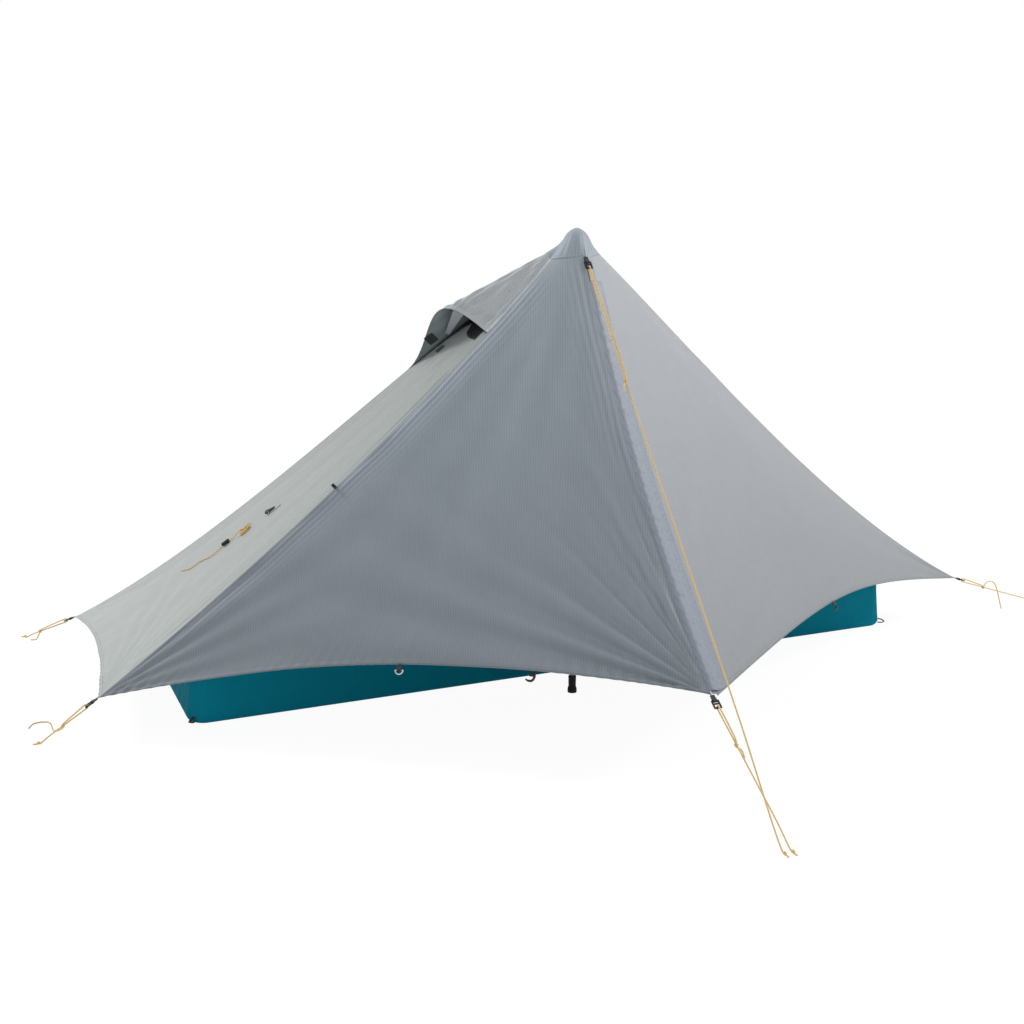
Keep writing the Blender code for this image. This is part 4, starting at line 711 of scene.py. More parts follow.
def ripstop(name, color, pitch=0.0062, line_shares=(0.76, 0.95), roughness=0.52, sheen=0.15, specular=0.35,
            painted_light_and_shade=(1.0, 1.0), stitched=False):
    """Coated ripstop: a check of thicker threads on soft mottling.

    The painted light and shade is the tone at the ground and at the peak: light and shade painted into the
    colour, ramping with height. A stitched one has a row of stitches along it.
    """
    stuff = Stuff(name, color, roughness, sheen=sheen, specular=specular)
    across, along, _ = stuff.axes()
    threads = [stuff.lines(axis, pitch, THREAD_SHARE) for axis in (across, along)]
    for thread, share in zip(threads, line_shares):
        stuff.tint(thread, 1.0, share)
    # Painted light and shade: the tone ramps with height from the ground up to the peak
    stuff.tint(stuff.axes("Object")[2], *painted_light_and_shade, span=(PAINTED_LIGHT_START_HEIGHT, RING_HEIGHT))
    cloud = stuff.noise(2.2, 3.0)
    stuff.tint(cloud, 0.93, 1.07)
    stuff.tint(stuff.noise(30.0, 4.0), 0.95, 1.05)
    stuff.roughness(cloud, roughness - 0.06, roughness + 0.08)
    stuff.bump(stuff.math("MAXIMUM", *threads), 0.00012, 0.6)
    stuff.bump(stuff.noise(26.0, 4.0), 0.0016, 0.4)
    if stitched:
        middle = stuff.math("SUBTRACT", along, SEAM_WIDTH / 2 - STITCH_PITCH / 4)
        row = stuff.lines(middle, STITCH_PITCH * 2, STITCH_WIDTH_SHARE)
        turn = stuff.math("FRACT", stuff.times(across, 1 / STITCH_PITCH))
        thread = stuff.times(row, stuff.math("GREATER_THAN", turn, STITCH_GAP_SHARE))
        stuff.tint(thread, 1.0, 0.55)
        stuff.bump(thread, 0.0004, 0.8)
    return stuff.made


def netting(name, color=(0.012, 0.012, 0.013), pitch=0.0013, cover_share=0.42):
    """Fine black netting with holes between its threads."""
    stuff = Stuff(name, color, 0.75)
    across, along, _ = stuff.axes()
    ways = [stuff.lines(stuff.math(way, across, along), pitch, 1.0) for way in ("ADD", "SUBTRACT")]
    thread = stuff.math("MAXIMUM", *ways)
    held = stuff.math("GREATER_THAN", thread, 1 - cover_share)
    stuff.tree.links.new(held, stuff.shader.inputs["Alpha"])
    stuff.bump(thread, 0.0002, 0.5)
    return stuff.made


def woven(name, color, pitch=0.0011, depth=0.00025):
    """Webbing or tape: ribs across with threads that cross them in a chevron."""
    stuff = Stuff(name, color, 0.8, sheen=0.25)
    across, along, _ = stuff.axes()
    slant = stuff.times(stuff.math("ABSOLUTE", across), 0.8)
    ribs = stuff.waves(stuff.math("ADD", along, slant), pitch)
    threads = stuff.waves(across, pitch * 0.8)
    weave = stuff.math("MULTIPLY_ADD", stuff.times(ribs, threads), 0.25, 0.5)
    stuff.tint(weave, 0.75, 1.25)
    stuff.bump(weave, depth, 0.8)
    return stuff.made


def braided(name, color, fleck):
    """Braided cord: two sets of strands that cross, with a fleck woven in."""
    stuff = Stuff(name, color, 0.6, sheen=0.2)
    around, along, _ = stuff.axes()
    turn = stuff.times(around, 2 * math.pi * CORD_STRANDS)
    climb = stuff.times(along, 2 * math.pi / BRAID_PITCH)
    right, left = [stuff.math("SINE", stuff.math(way, turn, climb)) for way in ("ADD", "SUBTRACT")]
    weave = stuff.math("MULTIPLY_ADD", stuff.times(right, left), 0.5, 0.5)
    stuff.tint(weave, 0.70, 1.15)
    slow = stuff.math("SINE", stuff.math("ADD", stuff.times(around, 2 * math.pi), climb))
    stuff.lay("MIX", stuff.times(stuff.math("GREATER_THAN", slow, 0.93), 0.7), fleck)
    stuff.bump(weave, 0.0003, 0.9)
    return stuff.made


def speckled(stuff, roughness, fine, detail, coarse, tones):
    """Lays an uneven gloss and tone on a hard material, and returns the fine speckle of the gloss."""
    speckle = stuff.noise(fine, detail)
    stuff.roughness(speckle, roughness - 0.08, roughness + 0.12)
    stuff.tint(stuff.noise(coarse, 3.0), *tones)
    return speckle


def moulded(name, color, roughness=0.42, grain=1800.0):
    stuff = Stuff(name, color, roughness, specular=0.25)
    stuff.bump(speckled(stuff, roughness, grain, 2.0, 60.0, (0.85, 1.2)), 0.00004, 0.5)
    return stuff.made


def brushed(name, color, roughness):
    stuff = Stuff(name, color, roughness, metallic=1.0)
    speckled(stuff, roughness, 700.0, 3.0, 35.0, (0.9, 1.1))
    return stuff.made


paint = {
    # The hood's outside: a lighter copy of the foot panel's fabric, with painted light in its colour
    "hood": ripstop("hood_lit_copy_ripstop", (0.590, 0.610, 0.615), line_shares=(0.90, 0.96)),
    # The hood's underside: a lighter copy of the coated inside, with painted light in its colour
    "hood_inside_lit_copy": ripstop("hood_inside_lit_copy", (0.260, 0.310, 0.310)),
    "inside": ripstop("coated_inside", (0.120, 0.140, 0.140), roughness=0.4),
    "prop": ripstop("prop_fabric", (0.360, 0.380, 0.400)),
    "floor": ripstop("floor_fabric", TEAL, 0.0050, (0.8, 0.8), 0.7, sheen=0.0, specular=0.12),
    "net": netting("black_netting"),
    "roll": woven("rolled_black_netting", (0.016, 0.016, 0.017), pitch=0.0016, depth=0.0004),
    "webbing": woven("black_webbing", (0.014, 0.014, 0.015)),
    "tape": woven("zip_tape", (0.10, 0.115, 0.13), pitch=0.0008),
    "hook": woven("hook_and_loop", (0.020, 0.021, 0.022), pitch=0.0007, depth=0.0006),
    "cord": braided("amber_cord", AMBER, (0.20, 0.17, 0.13)),
    "plastic": moulded("black_plastic", (0.016, 0.016, 0.017)),
    "rubber": moulded("black_rubber", (0.018, 0.018, 0.018), 0.7),
    "foam": moulded("grip_foam", (0.028, 0.028, 0.030), 0.85, 900.0),
    "steel": brushed("steel", (0.55, 0.55, 0.56), 0.28),
    "shaft": brushed("anodised_shaft", (0.045, 0.05, 0.055), 0.34),
}
# Each panel gets its own lit and shaded copy of the fabric, with its painted light and shade, and a stitched
# copy for its seams
for cloth, look in PANEL_CLOTHS_LIT_AND_SHADED.items():
    paint[cloth] = ripstop(cloth + "_ripstop", **look)
    paint[cloth + "_seam"] = ripstop(cloth + "_seam", stitched=True, **look)


# Meshes
def linked(name, data):
    """A new object in the scene."""
    made = bpy.data.objects.new(name, data)
    bpy.context.scene.collection.objects.link(made)
    return made


def section(points, uvs, stuff=0, closed=False):
    """A grid of points in columns that run down, with its cut coordinates and its place in the materials."""
    return points, uvs, stuff, closed


def grid_faces(columns, rows, closed):
    """Faces of a grid of columns by rows of points that face out of a patch."""
    faces = []
    for i in range(columns if closed else columns - 1):
        n = (i + 1) % columns
        faces += [(i * rows + j, i * rows + j + 1, n * rows + j + 1, n * rows + j) for j in range(rows - 1)]
    return faces


def end_face(points, row, turned=False):
    """The corners of the face that closes a round grid at its first row, 0, or its last, -1."""
    columns, rows = points.shape[:2]
    corners = [column * rows + row % rows for column in range(columns)]
    return corners[::-1] if turned else corners


def mesh_object(name, sections, stuffs, caps=()):
    """A smooth mesh object of grids whose shared edges are joined. Caps are faces of the first grid."""
    points, corners, faces, kinds = [], [], [], []
    for grid, uvs, stuff, closed in sections:
        columns, rows = grid.shape[:2]
        first = len(points)
        cut = uvs.reshape(-1, 2)
        for face in grid_faces(columns, rows, closed):
            faces.append([first + corner for corner in face])
            pairs = cut[list(face)].copy()
            if closed and face[2] < face[0]:
                pairs[2:, 0] += uvs[-1, 0, 0] - uvs[-2, 0, 0] + uvs[-1, 0, 0] - uvs[0, 0, 0]
            corners.append(pairs)
            kinds.append(stuff)
        points += [tuple(point) for point in grid.reshape(-1, 3)]
    for cap in caps:
        faces.append(list(cap))
        corners.append(np.array([points[corner][:2] for corner in cap]))
        kinds.append(0)
    data = bpy.data.meshes.new(name)
    data.from_pydata(points, [], faces)
    layer = data.uv_layers.new(name="UVMap")
    layer.data.foreach_set("uv", np.concatenate(corners).astype(np.float32).ravel())
    data.polygons.foreach_set("material_index", kinds)
    data.shade_smooth()
    if len(sections) > 1:
        joined = bmesh.new()
        joined.from_mesh(data)
        bmesh.ops.remove_doubles(joined, verts=joined.verts, dist=PROBE / 50)
        joined.to_mesh(data)
        joined.free()
    for stuff in stuffs:
        data.materials.append(paint[stuff])
    return linked(name, data)


def turned_form(name, points, uvs, stuff):
    """A round form that is closed at both ends."""
    ends = (end_face(points, 0, turned=True), end_face(points, -1))
    return mesh_object(name, [section(points, uvs, closed=True)], [stuff], ends)


def flat_uvs(points):
    """Thread-true coordinates in metres: along the lower edge of the grid and square to it."""
    foot = unit(points[-1, -1] - points[0, -1])
    middle = points[points.shape[0] // 2]
    up = middle[0] - middle[-1]
    up = unit(up - foot * dot(up, foot))
    return np.stack((points @ foot, points @ up), -1)


def run_uvs(points, down=False):
    """Coordinates in metres along a band and across it. The band runs down the grid's rows or across."""
    points = points if down else points.swapaxes(0, 1)
    across = np.linalg.norm(np.diff(points, axis=0), axis=-1).mean(-1)
    width = np.concatenate(([0], np.cumsum(across)))
    uvs = stacked(run_along(points[0])[None], width[:, None])
    return uvs if down else uvs.swapaxes(0, 1)


def grid_normals(points):
    return unit(np.cross(np.gradient(points, axis=1), np.gradient(points, axis=0)))


def thicken(piece, thickness, offset=-1.0, lined=False):
    """Gives a sheet its thickness, inward. A lined one has the next material on its inner face."""
    modifier = piece.modifiers.new("thickness", "SOLIDIFY")
    modifier.thickness = thickness
    modifier.offset = offset
    modifier.use_even_offset = False
    if lined:
        modifier.material_offset = 1
    return piece


def soften(piece, width):
    """Rounds the edges of a thick sheet."""
    bevel = piece.modifiers.new("edges", "BEVEL")
    bevel.width = width
    bevel.segments = 2
    bevel.limit_method = "ANGLE"


def sheet(name, points, stuff, thickness=FABRIC, inside="inside"):
    """A plain sheet of fabric from a grid of points."""
    stuffs = [stuff, inside] if inside else [stuff]
    made = mesh_object(name, [section(points, flat_uvs(points))], stuffs)
    return thicken(made, thickness, lined=bool(inside))


def finish(piece, body, replaced=()):
    """Says what a piece rides on, and hides the parts it stands for."""
    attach(piece, body)
    if replaced:
        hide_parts(*replaced)


def finish_cord(piece, node, route, line, lay, **more):
    """Says what a cord rides on and stands for."""
    finish(piece, "tent", [node])


# Routes of the cords
def smooth_route(points, spacing):
    """A centripetal curve through the points, cut into steps no longer than the spacing."""
    points = [np.array(p, float) for p in points]
    ends = [2 * points[0] - points[1], *points, 2 * points[-1] - points[-2]]
    route = [points[0]]
    for a, b, c, d in zip(ends, ends[1:], ends[2:], ends[3:]):
        knots = [0.0]
        for start, end in ((a, b), (b, c), (c, d)):
            knots.append(knots[-1] + math.sqrt(np.linalg.norm(end - start)))
        count = max(1, math.ceil(np.linalg.norm(c - b) / spacing))
        for k in range(1, count + 1):
            t = knots[1] + (knots[2] - knots[1]) * k / count
            route.append(blend_four((a, b, c, d), knots, t))
    return np.array(route)


def blend_four(points, knots, t):
    first = [blend_two(points[k], points[k + 1], knots[k], knots[k + 1], t) for k in range(3)]
    second = [blend_two(first[k], first[k + 1], knots[k], knots[k + 2], t) for k in range(2)]
    return blend_two(second[0], second[1], knots[1], knots[2], t)


def blend_two(first, last, start, end, t):
    return first + (last - first) * (t - start) / (end - start)


def points_at(line, along, wanted):
    """Points of a line at the wanted places, where its own lie at the places along it."""
    return np.stack([np.interp(wanted, along, line[:, k]) for k in range(3)], -1)


def resampled(route, spacing):
    """The route with points an even spacing apart, and how far along it they lie."""
    along = run_along(route)
    wanted = np.linspace(0, along[-1], max(2, int(round(along[-1] / spacing)) + 1))
    return points_at(route, along, wanted), wanted


def rope(name, route, diameter):
    """A braided cord: a tube whose surface swells where its strands cross."""
    line, place = resampled(route, CORD_SPACING)
    way = unit(np.gradient(line, axis=0))
    side = np.zeros_like(line)
    side[0] = unit(np.cross(way[0], UP + 0.01))
    for k in range(1, len(line)):
        side[k] = unit(side[k - 1] - way[k] * side[k - 1].dot(way[k]))
    other = np.cross(way, side)
    angles = 2 * math.pi * np.arange(CORD_SIDES) / CORD_SIDES
    climb = 2 * math.pi * place[:, None] / BRAID_PITCH
    swell = np.sin(CORD_STRANDS * angles + climb) * np.sin(CORD_STRANDS * angles - climb)
    radius = diameter / 2 * (1 + BRAID_SWELL_SHARE * swell)
    ring = side[:, None] * np.cos(angles)[:, None] + other[:, None] * np.sin(angles)[:, None]
    points = line[:, None] + ring * radius[..., None]
    uvs = stacked(angles / (2 * math.pi), place[:, None])
    points, uvs = points.swapaxes(0, 1)[::-1], uvs.swapaxes(0, 1)[::-1]
    ends = (end_face(points, 0), end_face(points, -1, turned=True))
    return mesh_object(name, [section(points, uvs, closed=True)], ["cord"], ends), line


def tie_frame(tie, toward):
    """Axes at a tie-out: along the line, level across it, and up out of it."""
    along = unit(toward - tie)
    across = unit(np.cross(UP, along))
    return along, across, np.cross(along, across)


def on_ground(x, y):
    return np.array((x, y, CORD_DIAMETER / 2 + GAP))


def spiral(centre, way, first, second, radius, pitch, turns, start=0.0, steps=8):
    """Turns of a cord round a line that leave first towards second and advance along the way."""
    points = []
    for k in range(int(turns * steps) + 1):
        angle = start + 2 * math.pi * k / steps
        spoke = first * math.cos(angle) + second * math.sin(angle)
        points.append(centre + spoke * radius + way * pitch * k / steps)
    return points


def guyline(bar, axes, stake, knot_share, tail_shares):
    """One guyline in two lengths that meet in the adjuster: to the stake, and back to the knot."""
    along, _, up = axes
    turn = [bar + (along * math.cos(a) + up * math.sin(a)) * CORD_BEND
            for a in (math.pi / 2 + math.pi * k / 8 for k in range(9))]
    level = level_way(along)
    reach = END_TIP + END_KNOT_PITCH * END_KNOT_TURNS
    neck = stake - level * reach + UP * END_KNOT_RADIUS
    way = unit(neck - turn[-1])
    side = unit(np.cross(UP, way))
    knot = lerp(turn[-1], neck, knot_share)
    turns = spiral(knot, way, side, np.cross(way, side), CORD_DIAMETER + 2 * GAP, KNOT_PITCH, KNOT_TURNS,
                   start=math.pi / 2)
    tail = []
    for onward, sideways, rise in tail_shares:
        point = knot + (level * onward + side * sideways) * TAIL_LENGTH
        tail.append(on_ground(*point[:2]) if rise is None else point + UP * TAIL_LENGTH * rise)
    lead = [lerp(turn[-1], neck, share) for share in (0.2, 0.5, 0.8)]
    end_knot = spiral(neck, level, -UP, np.cross(UP, level), END_KNOT_RADIUS, END_KNOT_PITCH, END_KNOT_TURNS)
    out = smooth_route(turn[5:] + lead + end_knot + [stake], ROUTE_SPACING)
    back = smooth_route(list(reversed(turn[:6])) + turns + tail, ROUTE_SPACING)
    return out, back


def place_tie_outs():
    """The webbing, adjuster and guyline places at each tie-out."""
    front_stake = on_ground(*STAKES["front"])
    stakes = {name: on_ground(*place) for name, place in STAKES.items()}
    base = arc.strip(PEAK_TAB_SHARE, 0, WEBBING_THICKNESS + GAP)
    ties = {name: (ridges[name].tie, stakes[name]) for name in STAKES}
    ties["peak"] = (np.array((0, base[1], base[2])), front_stake)
    for name in ("head_back", "back"):
        tie = ridges[name].tie
        ties[name] = (tie, tie + level_way(tie) - UP * FREE_TIE_DROP_SHARE)
    side = np.array((STAKE_SPREAD, 0, 0))
    stakes["peak"] = front_stake - side
    stakes["front"] = front_stake + side
    places = {}
    for name, (tie, toward) in ties.items():
        axes = tie_frame(tie, toward)
        places[name] = (tie + axes[0] * GAP, axes)
    return places, stakes


def webbing(name, path, across, node, width=WEBBING_WIDTH, thickness=WEBBING_THICKNESS * 0.9, body="tent"):
    """A length of webbing whose middle follows the path."""
    path, place = resampled(np.array(path, float), width / 8)
    shares = np.linspace(-0.5, 0.5, 7)
    points = path[None] + shares[:, None, None] * across * width
    uvs = stacked(shares[:, None] * width, place[None])
    piece = thicken(mesh_object(name, [section(points, uvs)], ["webbing"]), thickness, offset=0.0)
    soften(piece, thickness * 0.3)
    finish(piece, body, [node])


def loop_path(base, along, up, length):
    """The middle line of a strap sewn at its base and folded round a bar."""
    leg = WEBBING_THICKNESS / 2 + GAP / 2
    radius = ADJUSTER_BAR * math.sqrt(0.5) + GAP + WEBBING_THICKNESS / 2
    path = [base + up * leg, base + along * WEBBING_SEWN + up * leg]
    path += [base + along * length + (along * math.cos(a) + up * math.sin(a)) * radius
             for a in np.linspace(math.pi / 2, -math.pi / 2, 17)]
    return path + [base + along * WEBBING_SEWN - up * leg, base - up * leg]


# Camera
def build_camera():
    data = bpy.data.cameras.new("camera")
    data.lens = CAMERA_LENS_MM
    data.sensor_width = CAMERA_SENSOR_MM
    camera = linked("camera", data)
    camera.location = CAMERA_PLACE
    camera.rotation_euler = (math.pi / 2 - CAMERA_PITCH, 0, -CAMERA_YAW)
    bpy.context.scene.camera = camera


build_camera()
places, stakes = place_tie_outs()

# Each guyline's two lengths: from its adjuster to the stake, and back to the knot with its tail
for name, (knot_share, tail_shares) in GUYLINE_SHARES.items():
    base, axes = places[name]
    bar = base + axes[0] * (WEBBING_LENGTH + CORD_BAR_PLACE)
    for label, route in zip(("", "_return"), guyline(bar, axes, stakes[name], knot_share, tail_shares)):
        piece, line = rope(f"{name}_guyline_cord{label}", route, CORD_DIAMETER * CORD_FULLNESS_SHARE)
        finish_cord(piece, name + "_guyline", route, line, "taut")


# Canopy
class RightSide(Patch):
    """The front right fabric: the door and the fixed panel beyond it as one surface, round at the fold."""

    def __init__(self, door, fixed):
        super().__init__(door.first, fixed.last, *FRONT_RIGHT_HEM_SHARES)
        self.door = door
        self.fixed = fixed

    def folded(self, u, v):
        on_door = self.door.at(u / DOOR_SHARE, v)
        on_fixed = self.fixed.at((u - DOOR_SHARE) / (1 - DOOR_SHARE), v)
        return np.where((np.asarray(u) < DOOR_SHARE)[..., None], on_door, on_fixed)

    def at(self, u, v):
        u, v = np.broadcast_arrays(np.asarray(u, float), np.asarray(v, float))
        near = np.clip((u - DOOR_SHARE + FOLD_ROUND_SHARE) / (2 * FOLD_ROUND_SHARE), 0, 1)[..., None]
        before, middle, after = [self.folded(np.full(v.shape, DOOR_SHARE + side * FOLD_ROUND_SHARE), v)
                                 for side in (-1, 0, 1)]
        eased = before * (1 - near) ** 2 + 2 * middle * near * (1 - near) + after * near**2
        return np.where((near > 0) & (near < 1), eased, self.folded(u, v))


def panel_grid(patch, columns, rows, top=None, foot=None, lift=None):
    """Points of a panel, with the share across and down, and the distance from each edge and the hem."""
    lines = len(SEAM_LINES)
    s = np.linspace(0, 1, columns)
    s = s - EDGE_CROWD_SHARE * np.sin(2 * math.pi * s) / (2 * math.pi)
    t = np.append(np.linspace(0, 1, rows), np.zeros(lines))
    drops = np.append(np.zeros(rows), HEM_LINES)
    u = np.concatenate((np.zeros(lines), s, np.ones(lines)))[:, None]
    u = np.broadcast_to(u, (len(u), rows + lines)).copy()
    for _ in range(2):
        v_top = top(u) if top else np.zeros_like(u)
        v_foot = foot(u) if foot else patch.hem(u)
        length = np.linalg.norm(patch.at(u, v_foot) - patch.at(u, v_top), axis=-1)
        down = length / np.maximum(v_foot - v_top, PROBE)
        last = v_foot - HEM_LINES[0] / down
        v = np.where(np.arange(rows + lines) < rows, v_top + (last - v_top) * t, v_foot - drops / down)
        width = np.linalg.norm(patch.at(np.ones(v.shape), v) - patch.at(np.zeros(v.shape), v), axis=-1)
        band = np.minimum(SEAM_LINES[:, None] / width[:lines], SEAM_LINE_SHARE * np.arange(lines)[:, None])
        u[:lines] = band
        u[-lines:] = 1 - band[::-1]
        u[lines:-lines] = band[-1] + (1 - 2 * band[-1]) * s[:, None]
    v[:, rows - 1] = v[:, rows - 2] * 0.5 + v[:, rows] * 0.5
    height = lift(u, v) if lift else np.zeros_like(v)
    points = patch.lifted(u, v, height)
    points[0] += patch.edge_way(u[0], v[0]) * SEAM_GAP / 2
    points[-1] -= patch.edge_way(u[-1], v[-1]) * SEAM_GAP / 2
    return points, u, v, (u * width, (1 - u) * width, np.maximum((v_foot - v) * down, 0))


def fan(points, corner, up, across, count, height, reach, phase):
    """Creases that run out from a corner and die away."""
    away = points - corner
    angle = np.arctan2(dot(away, across), dot(away, up))
    wobble = 0.8 * np.sin(3.1 * angle + phase) + 2.0 * np.sin(1.7 * angle + 2 * phase)
    uneven = 0.65 + 0.35 * np.sin(5.3 * angle + 3 * phase)
    share = np.linalg.norm(away, axis=-1) / reach
    return height * np.sin(count * angle + wobble) * uneven * share * np.exp(1 - share)


def folds(distance, v, pitch, height, depth, span, phase):
    """Long creases beside a seam, within a span of the way down."""
    start, end = span
    soft = smooth_step(start, start + 0.05, v) * (1 - smooth_step(end - 0.15, end, v))
    sway = 1.1 * np.sin(9 * v + phase) + 0.5 * np.sin(23 * v + 2 * phase)
    return height * np.sin(2 * math.pi * distance / pitch + sway + phase) * np.exp(-distance / depth) * soft


def puckers(run, distance, pitch, height, depth, phase):
    """Short waves square to a seam or hem, as its stitching draws them."""
    waves = np.sin(2 * math.pi * run / pitch + 1.6 * np.sin(run / (pitch * 1.9) + phase) + phase)
    uneven = 0.55 + 0.45 * np.sin(run / (pitch * 3.3) + 2 * phase)
    return height * waves * uneven * np.exp(-distance / depth)


def hem_rim(hem):
    """How far a hem's fold stands out of its panel."""
    return HEM_RISE * (1 - smooth_step(HEM_WIDTH, HEM_WIDTH * 1.09, hem))


def dress(patch, points, u, v, away, fans=(), long_folds=(), ripples=(), hem_pucker=HEM_PUCKER, calm=None):
    """Moves the points of a panel out and in by its creases, waves, seams and hem."""
    first, last, hem = away
    corners = (patch.first, patch.last)
    middle = (patch.first.tie + patch.last.tie) / 2
    normal = unit(np.cross(patch.first.tie - patch.last.tie, patch.first.start - middle))
    height = np.zeros_like(v)
    for side, count, rise, reach, phase in fans:
        ridge = corners[side]
        up = unit(ridge.start - ridge.tie)
        height += fan(points, ridge.tie, up, np.cross(up, normal), count, rise, reach, phase)
    for wave_u, wave_v, rise, phase in ripples:
        height += rise * np.sin(wave_u * u + wave_v * v + phase) * smooth_step(0.05, 0.3, v)
    height *= smooth_step(0, EDGE_CALM, first) * smooth_step(0, EDGE_CALM, last)
    for side, pitch, rise, depth, span, phase in long_folds:
        beside = smooth_step(SEAM_WIDTH * 0.3, SEAM_WIDTH, away[side])
        height += folds(away[side], v, pitch, rise, depth, span, phase) * beside
    height *= smooth_step(0, 0.05, v)
    run = run_along(points[:, -1])[:, None]
    edge = np.minimum(first, last)
    ruffle = puckers(run, hem, HEM_PUCKER_PITCH, hem_pucker, HEM_PUCKER_DEPTH, 0.7)
    height += ruffle * smooth_step(0, EDGE_CALM, edge)
    down = v * np.linalg.norm(patch.first.tie - patch.first.start)
    ruffle = puckers(down, edge, SEAM_PUCKER_PITCH, SEAM_PUCKER, SEAM_PUCKER_DEPTH, 1.9)
    height += ruffle * smooth_step(0, SEAM_WIDTH, edge) * smooth_step(0.02, 0.06, v)
    height += hem_rim(hem)
    if calm is not None:
        height *= calm
    return points + patch.normal(u, v) * height[..., None]


def stitched_sheet(name, points, stuff, seam, seams, thickness=FABRIC, inside="inside"):
    """A panel in one piece with its hem, and its seams where it has them, in the stitched material."""
    uvs = flat_uvs(points)
    first = 2 if seams[0] else 0
    last = len(points) - 2 if seams[1] else len(points)
    low = points.shape[1] - 3
    sections = [
        section(points[first:last, :low + 1], uvs[first:last, :low + 1]),
        section(points[:, low:], run_uvs(points[:, low:]), 2),
    ]
    for kept, columns in zip(seams, (slice(0, first + 1), slice(last - 1, None))):
        if kept:
            band = points[columns, :low + 1]
            sections.append(section(band, run_uvs(band, True), 2))
    made = mesh_object(name, sections, [stuff, inside, seam, inside])
    return thicken(made, thickness, lined=True)


def canopy_panel(name, stuff):
    """A whole canopy panel with its creases, and with a seam at its first ridge."""
    patch = patches[name]
    points, u, v, away = panel_grid(patch, *GRID_SIZES[name])
    points = dress(patch, points, u, v, away, **DRESSING[name])
    piece = stitched_sheet(name + "_fabric", points, stuff, stuff + "_seam", (True, False))
    finish(piece, "tent", [name + "_panel"])


def build_right_side():
    """The door and the fixed panel beyond it in one sheet, round at the fold."""
    side = RightSide(patches["door"], patches["front_right"])
    points, u, v, away = panel_grid(side, *GRID_SIZES["right_side"])
    calm = smooth_step(*FLAP_CALM, away[0])
    hem = np.s_[:, -len(HEM_LINES):]
    calm[hem] = np.maximum(calm[hem], smooth_step(*FLAP_HEM_CALM, away[0][hem]))
    points = dress(side, points, u, v, away, calm=calm, **DRESSING["right_side"])
    piece = stitched_sheet("front_right_fabric", points, "side", "side_seam", (False, True))
    fold = ridges["fold"]
    middle = fold.at(FOLD_BLEND_PLACE_SHARE)
    way = unit(fold.tie - fold.start)
    across = patches["front_right"].at(0.2, FOLD_BLEND_PLACE_SHARE) - middle
    across = unit(across - way * dot(across, way))
    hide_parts("door_panel", "front_right_panel")
    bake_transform(piece)


canopy_panel("front_left", "front")
for name in ("head", "back_right", "back_left"):
    canopy_panel(name, "side")
build_right_side()


# Peak vent
def patch_height(u, v):
    """How far a sewn patch's outer face stands off a panel."""
    return np.full(u.shape, GAP + PATCH_THICKNESS)


def under_hood(u, v):
    return hood_lift(u, v) - HOOD_CLEAR


def below_hood(u, v, depth):
    return patches["foot"].lifted(u, v, hood_lift(u, v) - depth)


def surface_plate(patch, u, v, length, width, height, columns=9, rows=13):
    """A grid of points that follows a patch, centred at (u, v)."""
    long_way = np.linalg.norm(patch.at(u, v + PROBE) - patch.at(u, v - PROBE)) / (2 * PROBE)
    wide_way = np.linalg.norm(patch.at(u + PROBE, v) - patch.at(u - PROBE, v)) / (2 * PROBE)
    across = u + np.linspace(-0.5, 0.5, columns)[:, None] * width / wide_way
    down = v + np.linspace(-0.5, 0.5, rows)[None] * length / long_way
    across, down = np.broadcast_arrays(across, down)
    return patch.lifted(across, down, height(across, down))


def plate(name, points, stuff, node):
    """A small sewn patch with soft edges."""
    piece = thicken(mesh_object(name, [section(points, flat_uvs(points))], [stuff]), PATCH_THICKNESS)
    soften(piece, PATCH_THICKNESS * 0.4)
    finish(piece, "tent", [node])


def build_foot_panel():
    """The foot panel, calm under the vent, round the side guyout and round the end of its cord."""
    foot = patches["foot"]
    clear_share = 8 * GAP / np.linalg.norm(foot.first.tie - foot.first.start)
    points, u, v, away = panel_grid(foot, *GRID_SIZES["foot"], top=lambda u: panel_top(u) + clear_share)
    calm = smooth_step(0.0, 0.10, v - panel_top(u))
    for spot_u, spot_v, near, far in CALM_SPOT_SHARES:
        calm *= smooth_step(near, far, np.hypot((u - spot_u) * CALM_WIDTH_SHARE, v - spot_v))
    calm = np.maximum(calm, 1 - smooth_step(0, HEM_WIDTH * 2, away[2]))
    points = dress(foot, points, u, v, away, calm=calm, **DRESSING["foot"])
    piece = stitched_sheet("foot_fabric", points, "foot", "foot_seam", (True, False))
    finish(piece, "tent", ["foot_panel"])


def build_hood():
    """The hood over the foot panel's tucked top edge, gathered where its prop meets the lip."""
    points, u, v, away = panel_grid(patches["foot"], *GRID_SIZES["hood"], foot=lip, lift=hood_lift)
    spread = np.arctan2((u - sum(PROP_LIP_SHARES) / 2) * 0.6, (lip(u) - v) + 0.02)
    gather = HOOD_GATHER * np.sin(23 * spread + 2.2 * np.sin(5 * spread))
    gather *= np.exp(-away[2] / HOOD_GATHER_REACH)
    gather += folds(away[1], v, *HOOD_FOLDS)
    gather += HOOD_RIPPLE * np.sin(60 * u + 8 * v) * smooth_step(0.02, 0.08, v)
    for distance, reach in zip(away, (EDGE_CALM, EDGE_CALM, HEM_WIDTH * 2)):
        gather *= smooth_step(0, reach, distance)
    points = points + grid_normals(points) * (gather + hem_rim(away[2]))[..., None]
    piece = stitched_sheet("vent_hood_fabric", points, "hood", "hood", (False, False), FABRIC * 1.5,
                           "hood_inside_lit_copy")
    finish(piece, "tent", ["vent_hood"])


